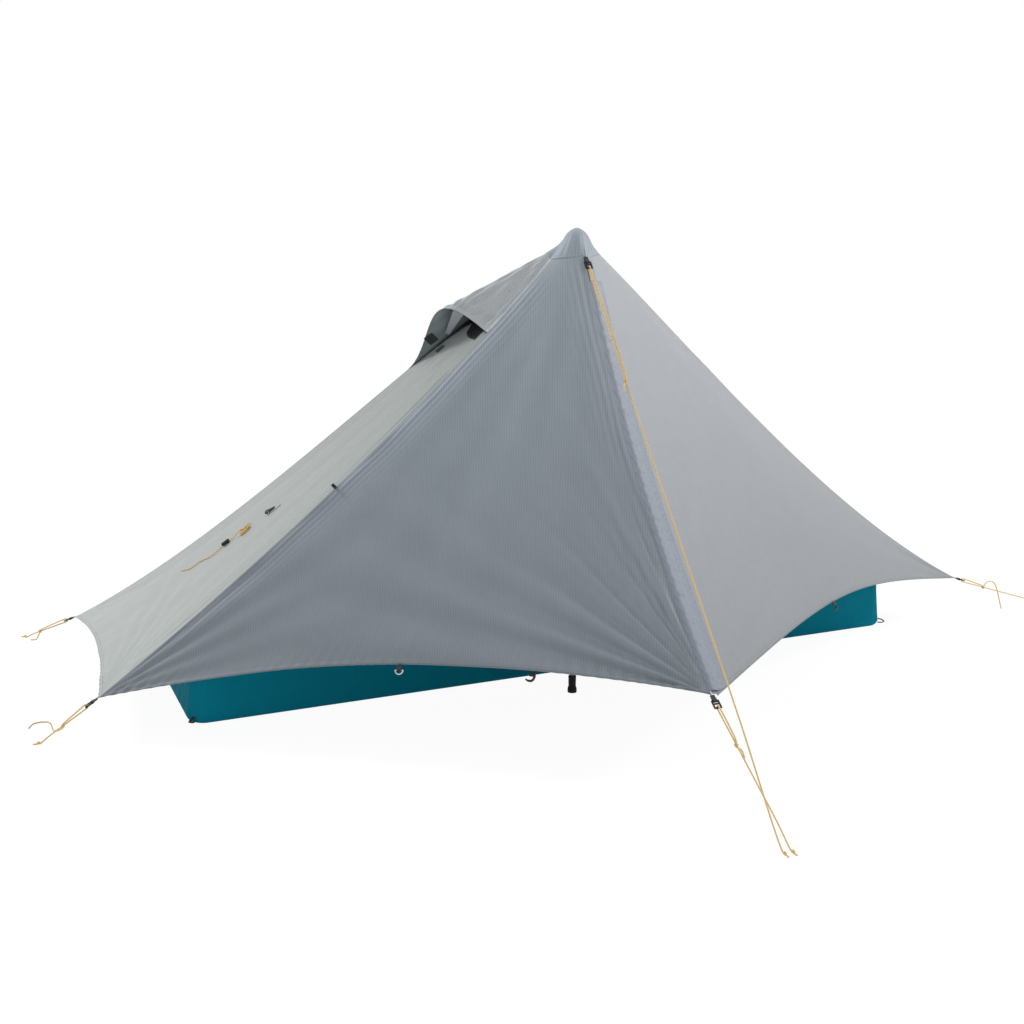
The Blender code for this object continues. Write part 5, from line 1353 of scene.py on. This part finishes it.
def build_vent_netting():
    """The vent's netting, from under the hood down over the foot panel's tucked edge."""
    foot = patches["foot"]
    columns, rows = GRID_SIZES["vent"]
    across = np.linspace(*VENT_MESH_SPAN_SHARES, columns)[:, None]
    steps = np.broadcast_to(np.linspace(0, 1.5, rows)[None], (columns, rows))
    share, past = np.minimum(steps, 1), np.maximum(steps - 1, 0) / 0.5
    least, most = VENT_MESH_LAP_SHARES
    lap = (least + (most - least) * smooth_step(0.25, 0.42, across)) * past
    down = VENT_MESH_TOP_SHARE + (panel_top(across) - VENT_MESH_TOP_SHARE) * share + lap
    across = np.broadcast_to(across, down.shape)
    over_edge = smooth_step(0.8, 1, steps)
    height = (1 - share) * under_hood(across, np.full(down.shape, VENT_MESH_TOP_SHARE))
    height += VENT_MESH_PROUD * over_edge
    waves = VENT_MESH_WAVE * np.sin(4 * math.pi * share + 9 * across) * (1 - over_edge)
    points = foot.lifted(across, down, height) + foot.normal(across, down) * waves[..., None]
    piece = sheet("vent_netting", points, "net", FABRIC, None)
    finish(piece, "tent", ["vent_mesh"])


def build_prop():
    """The prop between the hood's lip and the foot panel, bowed a little."""
    left, right = [below_hood(u, lip(u), PROP_DEPTH) for u in PROP_LIP_SHARES]
    end = below_hood(*PROP_FOOT_PLACE_SHARES, PROP_FOOT_DEPTH)
    way = unit(right - left)
    out = unit(np.cross(way, end - left))
    columns, rows = GRID_SIZES["prop"]
    s = np.linspace(0, 1, columns)[:, None, None]
    t = np.linspace(0, 1, rows)[None, :, None]
    near, far = left + (right - left) * s, end + way * PROP_FOOT_WIDTH * (s - 0.5)
    bow = PROP_BOW * np.sin(math.pi * s) * np.sin(math.pi * t) + PROP_RIPPLE * np.sin(40 * t + 5 * s)
    points = near + (far - near) * t + out * (PROP_THICKNESS - bow)
    piece = sheet("vent_prop_fabric", points, "prop", PROP_THICKNESS * 0.7, None)
    finish(piece, "prop", ["vent_prop"])


def build_vent_patches():
    """The hook and loop patches on the foot panel and under the hood."""
    for name, place, height, node in (
        ("panel_hook_patch", PANEL_PATCH_PLACE_SHARES, patch_height, "vent_panel_patch"),
        ("hood_loop_patch", HOOD_PATCH_PLACE_SHARES, under_hood, "vent_hood_patch"),
    ):
        points = surface_plate(patches["foot"], *place, PATCH_LENGTH, PATCH_WIDTH, height)
        plate(name, points, "hook", node)


# Zip and storm flap
def zip_band(start, width, v, heights):
    """A section of the zip beside the front ridge, with one column from start on for each of the heights."""
    columns = zip(np.linspace(start, start + width, len(heights)), heights)
    points = np.array([arc.strip(v, w, height + np.zeros(len(v))) for w, height in columns])
    return section(points, run_uvs(points, True))


def build_zip():
    """Both tapes, the coil, and the gussets over the zip's top and foot."""
    start = GAP + TAPE_THICKNESS * math.tan(ZIP_TILT)
    coil_start = start + TAPE_WIDTH
    tape_v, coil_v = [np.linspace(GAP, ZIP_FOOT_SHARE, rows) for rows in (TAPE_ROWS, COIL_ROWS)]
    teeth = 0.5 + 0.5 * np.sin(2 * math.pi * np.arange(COIL_ROWS) / 3)
    dome = np.sin(math.pi * np.arange(7) / 6)[:, None] * COIL_THICKNESS / 2
    tape = zip_band(start, TAPE_WIDTH, tape_v, np.zeros(7))
    coil = zip_band(coil_start, COIL_WIDTH - GAP, coil_v, dome * (0.55 + 0.45 * teeth))
    piece = mesh_object("zip_left_tape", [tape, coil], ["tape"])
    finish(thicken(piece, TAPE_THICKNESS), "tent", ["zip_tape_fixed"])
    tape = zip_band(coil_start + COIL_WIDTH + 2 * GAP, TAPE_WIDTH, tape_v, np.zeros(7))
    piece = mesh_object("zip_right_tape", [tape], ["tape"])
    finish(thicken(piece, TAPE_THICKNESS), "door", ["zip_tape_door"])
    columns, rows = GRID_SIZES["gusset"]
    for name, (body, span) in GUSSET_SHARES.items():
        v = np.linspace(*span, rows)
        points = []
        for share in np.linspace(0, 1, columns):
            height = GUSSET_EDGE + GUSSET_RISE * math.sin(math.pi * share) ** 0.6
            creases = GUSSET_CREASE * np.sin(2 * math.pi * (3 * share + 4 * v)) * math.sin(math.pi * share)
            points.append(arc.strip(v, GAP + (door_start() - GAP) * share, height + creases))
        points = np.array(points)
        piece = sheet("zip_gusset_" + name, points, "front")
        run, width = run_uvs(points, True)[-1, -1]
        finish(piece, body, ())


def build_flap():
    """The storm flap over the zip: it stands round over the ridge and lies down on the door."""
    door = patches["door"]
    place = np.linspace(0, 1, FLAP_ROWS)
    v = ZIP_TOP_SHARE + (FLAP_FOOT_SHARE - ZIP_TOP_SHARE) * place
    last = FLAP_TOP_WIDTH + (FLAP_FOOT_WIDTH - FLAP_TOP_WIDTH) * place
    lowest = FLAP_THICKNESS + 2 * GAP
    across = np.linalg.norm(door.at(np.ones(FLAP_ROWS), v) - door.at(np.zeros(FLAP_ROWS), v), axis=-1)
    columns = [arc.strip(v, w, np.full(FLAP_ROWS, h)) for w, h in FLAP_PROFILE]
    for past in np.linspace(0.06, 1, 26):
        width = (last - door_start()) * past
        height = lowest + (FLAP_RISE - lowest) * (1 - smooth_step(0, FLAP_SETTLE_SHARE, past))
        columns.append(door.lifted(width / across, v, np.full(FLAP_ROWS, height)))
    points = np.array(columns)
    share = np.linspace(0, 1, len(points))[:, None]
    run = place[None] * 0.98
    wrinkle = puckers(run, (1 - share) * FLAP_PUCKER_WIDTH, *FLAP_EDGE_PUCKERS)
    wrinkle += puckers(run, share * FLAP_PUCKER_WIDTH, *FLAP_RIDGE_PUCKERS) * smooth_step(0, 0.25, share)
    for rise, along, slant, sway, sway_along, sway_slant in FLAP_CREASES:
        turn = 2 * math.pi * (along * run + slant * share)
        turn = turn + sway * np.sin(sway_along * run + sway_slant * share)
        wrinkle += rise * np.sin(turn) * np.sin(math.pi * share)
    wrinkle = np.maximum(wrinkle, -FLAP_DEEPEST) * smooth_step(0.02, 0.08, run)
    wrinkle *= smooth_step(0.02, 0.2, share)
    points = points + grid_normals(points) * (wrinkle * (1 - smooth_step(0.93, 1, share)))[..., None]
    body = points[:-4, 4:]
    edge = section(points[-5:], run_uvs(points[-5:], True), 2)
    head = section(points[:-4, :5], run_uvs(points[:-4, :5]), 2)
    piece = mesh_object("storm_flap_fabric", [section(body, flat_uvs(body)), edge, head],
                        ["flap", "inside", "flap_seam", "inside"])
    finish(thicken(piece, FABRIC, lined=True), "door", ["storm_flap"])


build_foot_panel()
build_hood()
build_vent_netting()
build_prop()
build_vent_patches()
build_zip()
build_flap()


def build_cap():
    """The fabric cap over the grip: a round crown that runs straight out over the tops of the panels."""
    around = []
    for name in ("front_left", "zip", "door", "front_right", "head", "back_right", "back_left", "foot"):
        for u in np.linspace(0, 1, 5 if name == "zip" else 15)[:-1]:
            spots = []
            for v in (0.0, CAP_SKIRT_SHARE - 0.002, CAP_SKIRT_SHARE):
                lift = hood_lift(u, v) if name == "foot" else 0
                spots.append(patches[name].lifted(u, v, lift + CAP_LIFT))
            around.append(spots)
    around = np.array(around)
    turn = np.arctan2(around[:, 0, 1], around[:, 0, 0])
    radius = np.hypot(around[:, 0, 0], around[:, 0, 1]) - CAP_LIFT
    rise = CAP_TURN_SHARE + (1 - CAP_TURN_SHARE) * np.sin(math.pi / 2 * np.linspace(1, 0, CAP_RINGS))
    inward = np.maximum(1 - rise**CAP_POWER, 0) ** (1 / CAP_POWER)
    spread = np.maximum(inward, 0.02)[None] * radius[:, None]
    crown = polar(spread, turn[:, None], RING_HEIGHT + GAP * 3 + CAP_RISE * rise[None])
    start, end = crown[:, -1], around[:, 2]
    reach = np.linalg.norm(end - start, axis=-1)[:, None] / 3
    leave = start + unit(crown[:, -1] - crown[:, -2]) * reach
    meet = end - unit(around[:, 2] - around[:, 1]) * reach
    t = np.linspace(0, 1, 15)[1:, None, None]
    slope = start * (1 - t) ** 3 + leave * 3 * t * (1 - t) ** 2 + meet * 3 * t**2 * (1 - t) + end * t**3
    points = np.concatenate((crown, slope.swapaxes(0, 1)), 1)
    down = np.linspace(0, 1, points.shape[1])[None]
    ripple = sum(rise * np.sin(waves * turn + phase) for rise, waves, phase in CAP_RIPPLES)[:, None]
    ripple = ripple * smooth_step(0.15, 0.5, down) * (1 - smooth_step(0.85, 1.0, down))
    points = points + polar(1.0, turn, 0.0)[:, None] * ripple[..., None]
    uvs = stacked(run_along(points[:, CAP_RINGS])[:, None], -CAP_CUT_HEIGHT * down)
    piece = mesh_object("peak_cap_fabric", [section(points, uvs, closed=True)], ["front"],
                        [end_face(points, 0, turned=True)])
    finish(thicken(piece, FABRIC), "tent", ["peak_cap"])


build_cap()


# Webbing
def hem_frame(patch, u):
    """A point just below a hem at the middle of the fabric, and the ways down, along it and out."""
    place = patch.at(u, patch.hem(u))
    side = unit(patch.at(u + PROBE, patch.hem(u + PROBE)) - place)
    out = patch.normal(u, patch.hem(u))
    down = unit(np.cross(side, out))
    if down[2] > 0:
        down = -down
    return place + down * HEM_CLEAR - out * CANOPY_THICKNESS / 2, down, side, out


def patch_frame(patch, u, v):
    """The ways down a patch, across it and out of it."""
    down = unit(patch.at(u, v + PROBE) - patch.at(u, v - PROBE))
    out = patch.normal(u, v)
    return down, unit(np.cross(down, out)), out


def build_webbing():
    """The straps of the tie-outs and the hem's ring, the loops of the ridge and the floor, the wrist loop."""
    for name, (base, (along, across, up)) in places.items():
        webbing(name + "_strap", loop_path(base, along, up, WEBBING_LENGTH), across, name + "_webbing")
    base, down, side, out = hem_frame(patches["front_left"], RING_PLACE_SHARE)
    webbing("ring_strap", loop_path(base, down, out, RING_STRAP_LENGTH), side, "hem_ring_strap")
    ridge = ridges["foot_front"]
    place = ridge.at(RIDGE_TAB_SHARE)
    along = unit(ridge.at(RIDGE_TAB_SHARE + PROBE) - place)
    out = unit(ridge.mitre(RIDGE_TAB_SHARE))
    bend = np.cross(out, along) * TAB_HEIGHT * RIDGE_LOOP_WIDTH_SHARE
    path = [place + out * (GAP * 2 + TAB_HEIGHT * b) + bend * a for a, b in RIDGE_LOOP_SHARES]
    webbing("ridge_loop", smooth_route(path, LOOP_SPACING), along, "ridge_tab", TAB_HEIGHT / 2,
            WEBBING_THICKNESS)
    for name, x, side in (("head", FLOOR_HEAD, 1), ("foot", -FLOOR_FOOT, -1)):
        way = unit(np.array((side, -1, 0)))
        corner = np.array((x - side * FLOOR_CORNER_RADIUS, FLOOR_FRONT + FLOOR_CORNER_RADIUS, FLOOR_CHINE))
        seat = corner + way * (FLOOR_CORNER_RADIUS + GAP)
        path = [seat + way * TAB_LENGTH * a + UP * TAB_HEIGHT * b for a, b in FLOOR_LOOP_SHARES]
        webbing("floor_loop_" + name, smooth_route(path, LOOP_SPACING), np.cross(way, UP),
                "floor_tab_" + name, WEBBING_WIDTH * 0.8, WEBBING_THICKNESS)
    near = GRIP_WAIST_RADIUS + GAP + STRAP_THICKNESS / 2
    high = GRIP_TOP - GRIP_LENGTH * STRAP_START_SHARE
    path = [np.array((-near - STRAP_REACH * a, 0, high + STRAP_DROP * b)) for a, b in WRIST_LOOP_SHARES]
    webbing("wrist_loop", smooth_route(path + [path[0]], 0.003), np.array((0, 1.0, 0)), "wrist_strap",
            STRAP_WIDTH, STRAP_THICKNESS * 0.9, "upper_pole")


def wound_cord(ground, down, side, out, pitch):
    """The hank's turns: out over half of them and back in on top of those, in long loops with round ends."""
    wound = []
    for k in range(HANK_LOOPS * HANK_STEPS + 1):
        turn = k / HANK_STEPS
        angle = 2 * math.pi * turn
        radius = HANK_INNER_RADIUS + pitch * min(turn, HANK_LOOPS - turn)
        climb = min(max(turn - HANK_LOOPS / 2 + 0.25, 0) / 0.5, 1)
        end = 1 if math.cos(angle) > PROBE else -1 if math.cos(angle) < -PROBE else 0
        place = ground + down * (HANK_LENGTH / 2 * end + radius * math.cos(angle))
        place = place + side * radius * math.sin(angle)
        wound.append(place + out * (CORD_DIAMETER / 2 + GAP + climb * pitch))
    return wound


def build_side_guyout():
    """The tie-out in the middle of the foot panel, with its cord wound up and its end loose."""
    foot = patches["foot"]
    place = (SIDE_ACROSS_SHARE, SIDE_DOWN_SHARE)
    points = surface_plate(foot, *place, SIDE_PATCH_LENGTH, SIDE_PATCH_WIDTH, patch_height, 13, 15)
    plate("side_reinforcement", points, "foot_seam", "side_patch")
    down, side, out = patch_frame(foot, *place)
    centre = foot.lifted(*place, PATCH_THICKNESS + 2 * GAP + WEBBING_THICKNESS)
    along = unit(down + out * SIDE_LIFT_SHARE)
    path = loop_path(centre, along, np.cross(side, along), SIDE_WEBBING_LENGTH)
    webbing("side_loop", path, side, "side_webbing")
    down, side, out = patch_frame(foot, *HANK_PLACE_SHARES)
    ground = foot.lifted(*HANK_PLACE_SHARES, HANK_CLEARANCE)
    pitch = CORD_DIAMETER + HANK_CLEAR
    inner = HANK_LENGTH / 2 + HANK_INNER_RADIUS
    reach = inner + HANK_LOOPS / 2 * pitch
    high = 2.5 * pitch + CORD_DIAMETER / 2
    lead_places = ((-reach - 2 * pitch, 0.5), (-reach, 1), (-inner, 1), (-inner / 2, 0.7), (0, 1 / 3))
    over_places = ((inner / 2, 1), (inner, 1), (reach, 0.9))
    lead = [ground + down * a + out * high * b for a, b in lead_places]
    over = [ground + down * a + side * pitch / 2 + out * high * b for a, b in over_places]
    tail = [foot.lifted(a, b, CORD_DIAMETER / 2 + HANK_CLEARANCE) for a, b in SIDE_TAIL_PLACE_SHARES]
    route = smooth_route(lead + wound_cord(ground, down, side, out, pitch) + over + tail, ROUTE_SPACING)
    piece, line = rope("side_guyline_cord", route, CORD_DIAMETER)
    finish_cord(piece, "side_cord", route, line, "coiled", with_pieces=[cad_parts["side_cord_lock"]])


build_webbing()
build_side_guyout()


# Inner tent
def floor_outline(inset, height, steps=14, straight=70):
    """The floor's outline with round corners, drawn in by inset."""
    radius = FLOOR_CORNER_RADIUS - inset
    low = (FLOOR_CORNER_RADIUS - FLOOR_FOOT, FLOOR_FRONT + FLOOR_CORNER_RADIUS)
    high = (FLOOR_HEAD - FLOOR_CORNER_RADIUS, FLOOR_BACK - FLOOR_CORNER_RADIUS)
    corners = ((high[0], low[1]), (high[0], high[1]), (low[0], high[1]), (low[0], low[1]))
    points = []
    for index, centre in enumerate(corners):
        for k in range(steps):
            angle = math.pi / 2 * (index - 1 + k / (steps - 1))
            points.append(polar(radius, angle, height) + (*centre, 0))
        end = polar(radius, math.pi / 2 * index, height) + (*corners[(index + 1) % 4], 0)
        points += [lerp(points[-1], end, k / straight) for k in range(1, straight)]
    return np.array(points)


def build_floor():
    """The bathtub floor: a tray of thin coated fabric whose walls sag and crease between their corners."""
    rises = np.arange(1, 10) / 9
    heights = [FLOOR_CHINE * b for _, b in CHINE_SHARES]
    heights += [FLOOR_CHINE + (FLOOR_WALL - FLOOR_CHINE) * rise for rise in rises]
    insets = [FLOOR_CHINE * (1 - a) for a, _ in CHINE_SHARES] + [FLOOR_LEAN * rise for rise in rises]
    loops = np.array([floor_outline(inset, height) for inset, height in zip(insets, heights)])
    points = loops.swapaxes(0, 1)[:, ::-1].copy()
    run = run_along(points[:, 0])[:, None]
    high = points[..., 2]
    out = unit(np.cross(np.roll(points, -1, 0) - np.roll(points, 1, 0), UP))
    soft = smooth_step(0, FLOOR_WALL / 3, high) * (1 - smooth_step(FLOOR_WALL * 0.9, FLOOR_WALL, high))
    creases = sum(rise * np.sin(2 * math.pi * run / pitch + slant * high + sway * np.sin(turn * run))
                  for rise, pitch, slant, sway, turn in FLOOR_CREASES)
    points = points - out * (np.abs(creases) * soft)[..., None]
    piece = mesh_object("bathtub_fabric", [section(points, stacked(run, high), closed=True)], ["floor"],
                        [end_face(points, -1, turned=True)])
    finish(thicken(piece, FABRIC * 2), "tent", ["bathtub_floor"])


def wall_top(side, share):
    """A point of the mesh wall's top edge, just under a ridge."""
    ridge = ridges[side]
    return ridge.at(share) - ridge.mitre(share) * CANOPY_THICKNESS - MESH_DROP * UP


def build_mesh_wall():
    """The front netting wall with its doorway and the door rolled up beside it."""
    shares = np.linspace(WALL_END_SHARE, WALL_TOP_SHARE, 9)
    tops = [wall_top("foot_front", share) for share in shares]
    others = [wall_top("head_front", share) for share in shares[::-1]]
    peak = (tops[-1] + others[0]) / 2
    peak[1] = WALL_PEAK_DEPTH
    tops = np.array(tops + [peak] + others)
    low, high = FLOOR_CORNER_RADIUS - FLOOR_FOOT, FLOOR_HEAD - FLOOR_CORNER_RADIUS
    feet = stacked(np.clip(tops[:, 0], low, high), FLOOR_FRONT + FLOOR_LEAN, FLOOR_WALL + GAP)
    places = np.linspace(0, len(tops) - 1, (len(tops) - 1) * WALL_FINENESS + 1)
    index = np.arange(len(tops))
    tops, feet = [points_at(line, index, places) for line in (tops, feet)]
    points = lerp(tops[:, None], feet[:, None], np.linspace(0, 1, 37))
    uvs = points[..., [0, 2]]
    first, last = [column * WALL_FINENESS for column in DOORWAY_COLUMNS]
    head, sill = DOORWAY_ROWS
    sections = [section(points[part], uvs[part]) for part in (
        np.s_[:first + 1], np.s_[last:], np.s_[first:last + 1, :head + 1], np.s_[first:last + 1, sill:])]
    piece = thicken(mesh_object("front_netting", sections, ["net"]), FABRIC)
    finish(piece, "tent", ["mesh_front_wall"])
    build_rolled_door(points[last, head], points[last, sill])


def build_rolled_door(top, end):
    """The mesh door, rolled up and tied in two places beside the doorway."""
    start = lerp(top, end, 0.03)
    turns = np.linspace(0, 2 * math.pi, 40, endpoint=False)
    loops = []
    for share in np.linspace(0, 1, 60):
        middle = lerp(start, end, share) - np.array((0, ROLL_RADIUS, 0))
        pinch = 1 - sum(ROLL_PINCH_SHARE * math.exp(-((share - tie) / ROLL_PINCH_REACH_SHARE) ** 2)
                        for tie in ROLL_TIE_SHARES)
        swelling = math.sin(math.pi * min(max(share * 1.15 - 0.07, 0), 1)) ** 0.4
        full = ROLL_RADIUS * pinch * (0.6 + 0.36 * swelling)
        radius = full * (1 + 0.05 * np.sin(5 * turns + 14 * share) + 0.03 * np.sin(11 * turns - 9 * share))
        loops.append(middle + polar(radius, turns, 0))
    roll = np.array(loops).swapaxes(0, 1)
    piece = turned_form("rolled_netting", roll, run_uvs(roll, True)[..., ::-1], "roll")
    finish(piece, "tent", ["mesh_door_roll"])


def rim_point(point):
    """The place on top of the floor's wall that lies nearest to a point, and the way out of it."""
    core = np.array((
        min(max(point[0], FLOOR_CORNER_RADIUS - FLOOR_FOOT), FLOOR_HEAD - FLOOR_CORNER_RADIUS),
        min(max(point[1], FLOOR_FRONT + FLOOR_CORNER_RADIUS), FLOOR_BACK - FLOOR_CORNER_RADIUS),
        FLOOR_WALL + GAP,
    ))
    return core + level_way(point - core) * (FLOOR_CORNER_RADIUS - FLOOR_LEAN - FLOOR_THICKNESS / 2)


def build_skirt():
    """The netting between the floor's walls and the canopy at the foot, the back and the head."""
    tops = []
    for name in ("foot", "back_left", "back_right", "head"):
        for u in np.linspace(1, 0, 25)[0 if name == "foot" else 1:]:
            u = min(u, SKIRT_END_SHARE) if name == "foot" else u
            u = max(u, 1 - SKIRT_END_SHARE) if name == "head" else u
            tops.append(patches[name].lifted(u, SKIRT_SHARE, -CANOPY_THICKNESS - SKIRT_DROP))
    tops = np.array(tops)
    tops = tops[np.append(True, np.linalg.norm(np.diff(tops, axis=0), axis=-1) > PROBE)]
    feet = np.array([rim_point(top) for top in tops])
    points = lerp(tops[:, None], feet[:, None], np.linspace(0, 1, 12))
    piece = thicken(mesh_object("skirt_netting", [section(points, run_uvs(points))], ["net"]), FABRIC, 0.0)
    finish(piece, "tent", ["mesh_skirt"])


def build_grip():
    """The foam grip: a turned form with finger rounds and a fine ribbed middle."""
    waist = GRIP_WAIST_RADIUS / GRIP_RADIUS
    bore = GRIP_BORE_RADIUS / GRIP_RADIUS
    ribs = [(waist + GRIP_RIB_SHARE * (k % 2), 0.72 - 0.30 * k / GRIP_RIBS) for k in range(GRIP_RIBS + 1)]
    foot = [(waist, 0.07), (waist, 0.02), (waist * 0.93, 0.0)]
    inside = [(bore * 1.04, 0.0), (bore, 0.01), (bore, 0.90), (0.02, 0.90)]
    profile = np.array([*GRIP_HEAD_SHARES, *ribs, *GRIP_FINGER_SHARES, *foot, *inside])
    radius = profile[:, 0] * GRIP_RADIUS
    height = GRIP_TOP - GRIP_LENGTH + GRIP_LENGTH * profile[:, 1]
    turns = np.linspace(0, 2 * math.pi, 48, endpoint=False)
    points = polar(radius[None], turns[:, None], height[None])
    piece = turned_form("foam_grip", points, run_uvs(points, True), "foam")
    finish(piece, "upper_pole", ["pole_grip"])


build_floor()
build_mesh_wall()
build_skirt()
build_grip()


# Finishes of the parts that stay
KEPT = {
    "plastic": ("peak_adjuster", "front_adjuster", "foot_front_adjuster", "foot_back_adjuster",
                "head_front_adjuster", "hem_hook_left", "hem_hook_right", "side_cord_lock", "lower_collar",
                "upper_collar", "lower_lever", "upper_lever", "pole_basket"),
    "steel": ("hem_ring", "zip_slider"),
    "shaft": ("lower_shaft", "middle_shaft", "upper_shaft"),
    "rubber": ("pole_foot",),
}
for stuff, names in KEPT.items():
    for name in names:
        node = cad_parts[name]
        node.data.materials.clear()
        node.data.materials.append(paint[stuff])


# Stage
def seen_mix(tree, seen, unseen, share):
    """A mix of what the camera sees, also in mirrors and through glass, by its share, and of what lights."""
    path = add_node(tree, "LightPath").outputs
    total = path["Is Camera Ray"]
    for kind in ("Is Glossy Ray", "Is Transmission Ray"):
        total = add_node(tree, "Math", {0: total, 1: path[kind]}, operation="MAXIMUM").outputs[0]
    amount = add_node(tree, "Math", {0: total, 1: share}, operation="MULTIPLY").outputs[0]
    return add_node(tree, "MixShader", {0: amount, 1: unseen.outputs[0], 2: seen.outputs[0]}).outputs[0]


def build_stage():
    """A floor and world that read as white to the camera and keep the object's shadow."""
    data = bpy.data.meshes.new("floor")
    half = STAGE_HALF_WIDTH
    corners = [(-half, -half, 0), (half, -half, 0), (half, half, 0), (-half, half, 0)]
    data.from_pydata(corners, [], [(0, 1, 2, 3)])
    floor = linked("floor", data)
    floor.location = (0, 0, -GAP)
    made = bpy.data.materials.new("white_floor")
    made.use_nodes = True
    made.node_tree.nodes.clear()
    diffuse = add_node(made.node_tree, "BsdfDiffuse", {"Color": STAGE_COLOR})
    glow = add_node(made.node_tree, "Emission", {"Strength": STAGE_GLOW})
    mixed = seen_mix(made.node_tree, glow, diffuse, STAGE_GLOW_SHARE)
    add_node(made.node_tree, "OutputMaterial", {0: mixed})
    data.materials.append(made)
    world = bpy.data.worlds.new("studio")
    bpy.context.scene.world = world
    world.use_nodes = True
    world.node_tree.nodes.clear()
    dim = add_node(world.node_tree, "Background", {"Color": WORLD_COLOR, "Strength": WORLD_STRENGTH})
    bright = add_node(world.node_tree, "Background", {"Color": (1, 1, 1, 1)})
    add_node(world.node_tree, "OutputWorld", {0: seen_mix(world.node_tree, bright, dim, 1.0)})


def area_light(name, way, distance, size, power):
    """A square lamp that stands a distance off along a way and faces the tent."""
    data = bpy.data.lights.new(name, "AREA")
    data.size = size
    data.energy = power
    lamp = linked(name, data)
    way = Vector(way).normalized()
    lamp.location = way * distance + Vector(LAMP_TARGET)
    lamp.rotation_euler = (-way).to_track_quat("-Z", "Y").to_euler()


build_stage()
for name, lamp in LAMPS.items():
    area_light(name, *lamp)
bpy.context.scene.view_settings.view_transform = "Standard"
